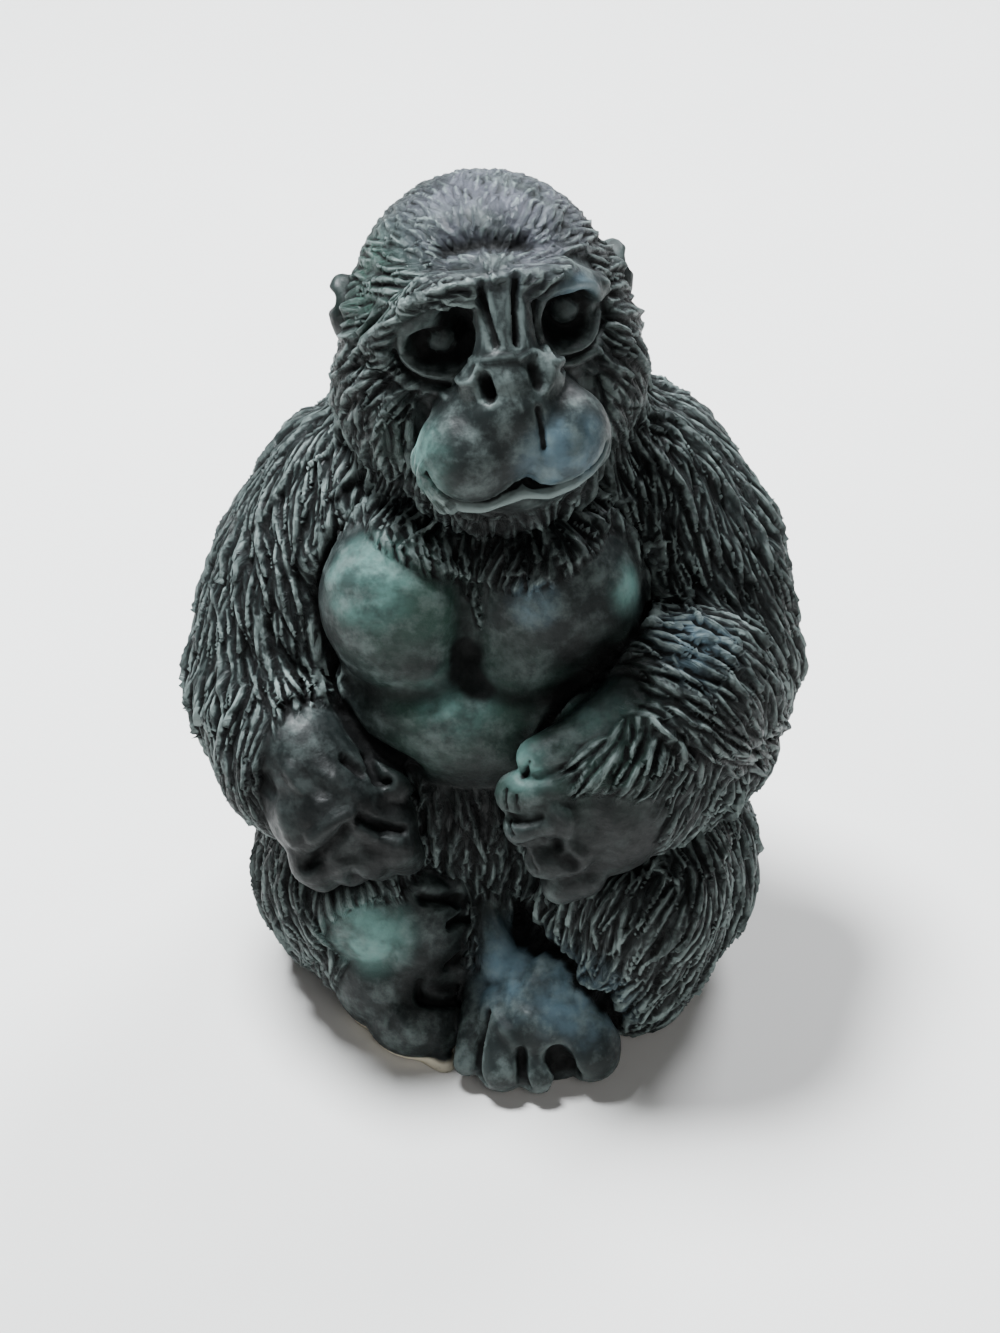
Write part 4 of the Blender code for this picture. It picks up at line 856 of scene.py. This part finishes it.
def lay_fur(fur, seeds, flow, level, dice, lock):
    """Locks of fur as tapered ridges. Each vertex keeps its highest lock's rise, and its place on it."""
    spacing, length, half_width, height = lock
    points = fur["points"]
    finder = Nearby(points, length * 0.66)
    for seed in seeds:
        near = finder.around(points[seed])
        away = points[near] - points[seed]
        swing = dice.gauss(0, 0.16)
        along = flow[seed] + swing * np.cross(level[seed], flow[seed])
        along /= np.linalg.norm(along)
        across = np.cross(level[seed], along)
        size = dice.uniform(0.7, 1.3)
        share = away @ along / (length * size) + 0.4
        wave = 0.22 * half_width * np.sin(5.5 * share + dice.uniform(0, 2 * math.pi))
        side = away @ across + 0.7 * swing * length * (share - 0.4) ** 2 + wave
        outline = np.clip(share / 0.3, 0, 1) ** 0.5 * np.clip((1 - share) / 0.75, 0, 1) ** 0.7
        beside = side / (half_width * size * np.maximum(outline, 1e-3))
        ridge = np.clip(1 - np.abs(beside) ** 1.6, 0, 1) * (0.35 + 0.65 * np.clip(share / 0.7, 0, 1))
        ridge[(share <= 0) | (share >= 1) | (np.abs(away @ level[seed]) > 0.45 * length)] = 0
        rise = height * dice.uniform(0.55, 1.3) * ridge
        strand = dice.random()
        higher = rise > fur["rise"][near]
        won = near[higher]
        fur["rise"][won] = rise[higher]
        fur["across"][won] = side[higher]
        fur["along"][won] = share[higher] * length * size
        fur["strand"][won] = strand


def nearest_to(places, points):
    """The vertex nearest each place."""
    tree = KDTree(len(points))
    for k, point in enumerate(points):
        tree.insert(point, k)
    tree.balance()
    return [tree.find(place)[1] for place in places]


def clump_places():
    """Where the clumps of fur start, found on coarse clay, so that they don't change with the fine one."""
    coarse = modelled_clay(BLOCK_VOXEL, BLOCK_VOXEL)
    points = points_of(coarse)
    mask = fur_mask(points, part_distances(points), edges_of(coarse))
    return [points[k] for k in scattered(points, mask, CLUMP[0], random.Random(7))]


def bald(points):
    """No fur yet on these points."""
    count = len(points)
    return {"points": points, "rise": np.zeros(count), "across": np.zeros(count),
            "along": np.zeros(count), "strand": np.zeros(count)}


def sculpted():
    """The finished surface in millimetres, and what its paint needs to know at each vertex."""
    mesh = modelled_clay(BLOCK_VOXEL, FINE_VOXEL)
    ends = edges_of(mesh)
    knife = Knife(mesh)
    parts = part_distances(knife.points)
    carve(knife)
    cut_creases(knife, parts)
    points, on_ball = knife.shaped()
    put_points(mesh, points)
    normals = normals_of(mesh)
    mask = fur_mask(points, parts, ends)
    level = smoothed(normals, ends, rounds_over(SLOPE_AREA))
    level /= np.linalg.norm(level, axis=1)[:, None]
    flow = flow_of(points, level, parts, ends)
    clumps = bald(points)
    lay_fur(clumps, nearest_to(clump_places(), points), flow, level, random.Random(7), CLUMP)
    points = points + (clumps["rise"] * mask * clump_share(points))[:, None] * level
    local = transformed(points, head_frame().inverted())
    reach = np.linalg.norm(local, axis=1)
    crown = (local[:, 2] > 3.0 + 0.5 * np.abs(local[:, 0]) * (local[:, 1] < 0)) & (reach < 15)
    head = (local[:, 2] > -15.0) & (reach < 17) & ~crown
    fur = bald(points)
    lines = [[Vector(place) for place in line] for line in FRINGES]
    fringe = np.minimum.reduce([distance_to_line(points, line) for line in lines])
    coats = ((8, ~(crown | head), BODY_LOCK), (9, head, HEAD_LOCK), (10, crown, CROWN_LOCK),
             (11, fringe < 1.7, TUFT_LOCK))
    for seed, where, lock in coats:
        dice = random.Random(seed)
        lay_fur(fur, scattered(points, mask * where, lock[0], dice), flow, level, dice, lock)
    cover = np.clip(3 * smoothed(mask, ends, rounds_over(COVER_AREA)), 0, 1)
    cover[bare_face(local) > 0.4] = 0
    rise = fur["rise"] * cover
    put_points(mesh, points + rise[:, None] * level)
    points, normals = points_of(mesh), normals_of(mesh)
    near_mean = smoothed(points, ends, rounds_over(NEAR_AREA))
    wide_mean = smoothed(points, ends, rounds_over(WIDE_AREA))
    ink = np.clip(-knife.lift / 0.9, 0, 1)
    ink[on_ball] = 0.3
    marks = {
        "fine_ridge": np.sum((points - near_mean) * normals, axis=1),
        "broad_ridge": np.sum((points - wide_mean) * normals, axis=1),
        "ink": ink,
        "lip": np.clip(1.7 - distance_to_line(local, [Vector(place) for place in LIP]) / LIP_RADIUS, 0, 1),
        "fur": np.clip(rise / 0.15, 0, 1),
        "across": fur["across"],
        "along": fur["along"],
        "strand": fur["strand"],
    }
    return mesh, marks


def flat_based(points):
    """Pressed flat onto the table: nothing is left below it."""
    pressed = points.copy()
    pressed[:, 2] = np.maximum(pressed[:, 2], 0.0)
    return pressed


def thinned(mesh, marks):
    """The mesh with fewer triangles, most of them where it bends most, and its marks carried over."""
    points = points_of(mesh)
    full = bpy.data.objects.new("full", mesh)
    bpy.context.scene.collection.objects.link(full)
    thin = full.modifiers.new("thin", "DECIMATE")
    thin.ratio = min(1.0, MOST_TRIANGLES / (2 * len(mesh.polygons)))
    thin.use_collapse_triangulate = True
    evaluated = full.evaluated_get(bpy.context.evaluated_depsgraph_get())
    made = bpy.data.meshes.new_from_object(evaluated)
    bpy.data.objects.remove(full)
    nearest = nearest_to([vertex.co for vertex in made.vertices], points)
    for name, values in marks.items():
        layer = made.attributes.new(name, "FLOAT", "POINT")
        layer.data.foreach_set("value", values[nearest].astype(np.float32))
    return made


class Nodes:
    """Short names for wiring a material."""

    def __init__(self, name):
        self.material = bpy.data.materials.new(name)
        self.material.use_nodes = True
        self.tree = self.material.node_tree
        self.shader = self.tree.nodes["Principled BSDF"]

    def add(self, kind, inputs=(), **settings):
        node = self.tree.nodes.new(kind)
        for name, value in settings.items():
            setattr(node, name, value)
        for socket, value in dict(inputs).items():
            self.join(value, node.inputs[socket])
        return node

    def join(self, value, socket):
        if isinstance(value, bpy.types.NodeSocket):
            self.tree.links.new(value, socket)
        else:
            socket.default_value = value

    def mark(self, name):
        return self.add("ShaderNodeAttribute", attribute_name=name).outputs["Fac"]

    def math(self, operation, a, b=0.0, clamp=False):
        return self.add("ShaderNodeMath", {0: a, 1: b}, operation=operation, use_clamp=clamp).outputs[0]

    def times(self, a, b):
        return self.math("MULTIPLY", a, b)

    def most(self, a, b):
        return self.math("MAXIMUM", a, b)

    def ramp(self, value, low, high, out_low=0.0, out_high=1.0):
        inputs = {"Value": value, "From Min": low, "From Max": high, "To Min": out_low, "To Max": out_high}
        return self.add("ShaderNodeMapRange", inputs, interpolation_type="SMOOTHSTEP").outputs[0]

    def noise(self, scale, detail=4.0, rough=0.55, vector=None):
        inputs = {"Scale": scale, "Detail": detail, "Roughness": rough}
        inputs["Vector"] = vector or self.place
        return self.add("ShaderNodeTexNoise", inputs).outputs["Fac"]

    def mix(self, share, a, b):
        node = self.add("ShaderNodeMix", data_type="RGBA")
        self.join(share, node.inputs["Factor"])
        self.join(a, node.inputs[6])
        self.join(b, node.inputs[7])
        return node.outputs[2]

    @property
    def place(self):
        return self.add("ShaderNodeTexCoord").outputs["Object"]


def near(nodes, centre, radius):
    """1 at a place on the figure, in millimetres, fading to 0 a radius away."""
    middle = tuple(value / 1000 for value in centre)
    away = nodes.add("ShaderNodeVectorMath", {0: nodes.place, 1: middle}, operation="DISTANCE")
    return nodes.ramp(away.outputs["Value"], 0.25 * radius / 1000, radius / 1000, 1.0, 0.0)


def places_mark(nodes, places):
    """1 at any of these places, fading out round them."""
    amount = 0.0
    for centre, radius in places:
        amount = nodes.most(amount, near(nodes, centre, radius))
    return amount


def resin():
    nodes = Nodes("dry_brushed_resin")
    fur = nodes.mark("fur")
    grain = nodes.noise(1400, 4, 0.6)
    speck = nodes.noise(620, 3, 0.6)
    blotch = nodes.noise(230, 4, 0.6)
    patch = nodes.noise(80, 3)
    dab = nodes.noise(420, 5, 0.62)
    fine, broad = nodes.mark("fine_ridge"), nodes.mark("broad_ridge")
    bare = nodes.math("SUBTRACT", 1.0, fur, True)
    colour = BODY
    # tints of paint, with painted highlights and a painted sheen among them
    for tint_or_highlight, places in TINTS_AND_HIGHLIGHTS:
        amount = nodes.times(places_mark(nodes, places), nodes.ramp(blotch, 0.32, 0.62, 0.15, 1.0))
        colour = nodes.mix(amount, colour, tint_or_highlight)
    # painted shade darkens the low, tucked-in parts towards black, and dry brushing catches the ridges
    painted_shade = nodes.times(places_mark(nodes, PAINTED_SHADE_PLACES), nodes.ramp(patch, 0.25, 0.60, 0.70, 1.0))
    colour = nodes.mix(nodes.times(painted_shade, 0.90), colour, INK_AND_SHADE)
    ridge = nodes.times(nodes.ramp(fine, 0.00, 0.09), nodes.ramp(speck, 0.32, 0.58, 0.2, 1.0))
    ridge = nodes.times(ridge, nodes.ramp(fur, 0.0, 1.0, 0.40, 1.0))
    edge = nodes.times(nodes.ramp(broad, 0.05, 0.60), nodes.ramp(blotch, 0.36, 0.66))
    smear = nodes.times(bare, nodes.ramp(dab, 0.42, 0.74, 0.0, 0.40))
    brushed = nodes.times(ridge, nodes.ramp(patch, 0.25, 0.70, 0.40, 1.0))
    brushed = nodes.most(brushed, nodes.times(edge, 0.45))
    brushed = nodes.most(brushed, smear)
    # the painted shade also dulls the dry brushing
    brushed = nodes.times(brushed, nodes.ramp(painted_shade, 0.0, 1.0, 0.92, 0.18))
    brushed = nodes.most(brushed, nodes.times(nodes.mark("lip"), 0.85))
    colour = nodes.mix(brushed, colour, DUSTY)
    hollow = nodes.ramp(fine, -0.08, 0.01, 0.97, 0.0)
    hollow = nodes.most(hollow, nodes.ramp(broad, -0.60, -0.08, 0.92, 0.0))
    hollow = nodes.most(hollow, nodes.ramp(nodes.mark("ink"), 0.20, 0.85, 0.0, 0.98))
    colour = nodes.mix(hollow, colour, INK_AND_SHADE)
    # the rim of the base under the right foot has lost its paint
    apart = nodes.add("ShaderNodeSeparateXYZ", {0: nodes.place})
    low = nodes.ramp(apart.outputs[2], RIM_FROM, RIM_TO, 1.0, 0.0)
    rim = nodes.times(near(nodes, RIM_PLACE, RIM_REACH), low)
    colour = nodes.mix(nodes.times(rim, nodes.ramp(speck, 0.25, 0.40)), colour, BARE)
    nodes.join(colour, nodes.shader.inputs["Base Color"])
    rough = nodes.ramp(grain, 0.25, 0.75, 0.42, 0.64)
    rough = nodes.math("ADD", rough, nodes.times(hollow, 0.25))
    nodes.join(rough, nodes.shader.inputs["Roughness"])
    nodes.shader.inputs["Specular IOR Level"].default_value = 0.20
    # hairs along the locks, and a fine grain on bare skin
    stretched = (("across", 4.5), ("along", 0.30), ("strand", 40.0))
    lay = {k: nodes.times(nodes.mark(name), share) for k, (name, share) in enumerate(stretched)}
    hairs = nodes.add("ShaderNodeCombineXYZ", lay).outputs[0]
    height = nodes.times(nodes.noise(1.0, 2.0, 0.5, hairs), fur)
    height = nodes.math("ADD", height, nodes.times(speck, 0.35))
    height = nodes.math("ADD", height, nodes.times(dab, 0.30))
    bump = nodes.add("ShaderNodeBump", {"Strength": 0.8, "Distance": 0.00035, "Height": height})
    nodes.join(bump.outputs[0], nodes.shader.inputs["Normal"])
    return nodes.material


def figure():
    mesh, marks = sculpted()
    low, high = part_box(NODE)
    points = flat_based(points_of(mesh))
    scale = (high[2] - low[2]) / points[:, 2].max()
    put_points(mesh, points)
    made = thinned(mesh, marks)
    put_points(made, flat_based(points_of(made)) * scale)
    made.shade_smooth()
    made.materials.append(resin())
    piece = bpy.data.objects.new("carved_gorilla", made)
    bpy.context.scene.collection.objects.link(piece)
    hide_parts(NODE)
    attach(piece, "root")


def floor():
    """A plain pale sheet under the figure."""
    mesh = bpy.data.meshes.new("floor")
    sheet = bmesh.new()
    bmesh.ops.create_grid(sheet, x_segments=8, y_segments=8, size=FLOOR_REACH)
    sheet.to_mesh(mesh)
    sheet.free()
    nodes = Nodes("pale_paper")
    tone = nodes.mix(nodes.noise(40, 3), PAPER, PALER_PAPER)
    nodes.join(tone, nodes.shader.inputs["Base Color"])
    nodes.shader.inputs["Roughness"].default_value = 0.85
    mesh.materials.append(nodes.material)
    made = bpy.data.objects.new("floor", mesh)
    made.location = (0, 0, -FLOOR_DROP)
    bpy.context.scene.collection.objects.link(made)


def camera():
    lens = bpy.data.cameras.new("camera")
    lens.sensor_fit = "VERTICAL"
    lens.sensor_height = FRAME_HEIGHT
    lens.lens = LENS
    lens.clip_start = 0.001
    placed = bpy.data.objects.new("camera", lens)
    up = math.radians(CAMERA_ELEVATION)
    back = Vector((0, -math.cos(up), math.sin(up)))
    placed.location = (Vector(AIM) + back * CAMERA_DISTANCE) / 1000
    placed.rotation_euler = (-back).to_track_quat("-Z", "Y").to_euler()
    bpy.context.scene.collection.objects.link(placed)
    bpy.context.scene.camera = placed


def light(name, place, aim, size, power, colour):
    lamp = bpy.data.lights.new(name, "AREA")
    lamp.shape = "DISK"
    lamp.size = size
    lamp.energy = power
    lamp.color = colour
    placed = bpy.data.objects.new(name, lamp)
    placed.location = place
    placed.rotation_euler = (Vector(aim) - Vector(place)).to_track_quat("-Z", "Y").to_euler()
    bpy.context.scene.collection.objects.link(placed)


def studio():
    world = bpy.data.worlds.new("studio")
    world.use_nodes = True
    background = world.node_tree.nodes["Background"]
    background.inputs["Color"].default_value = SKY
    background.inputs["Strength"].default_value = SKY_STRENGTH
    bpy.context.scene.world = world
    for name, lamp in LAMPS.items():
        light(name, *lamp)


figure()
floor()
camera()
studio()
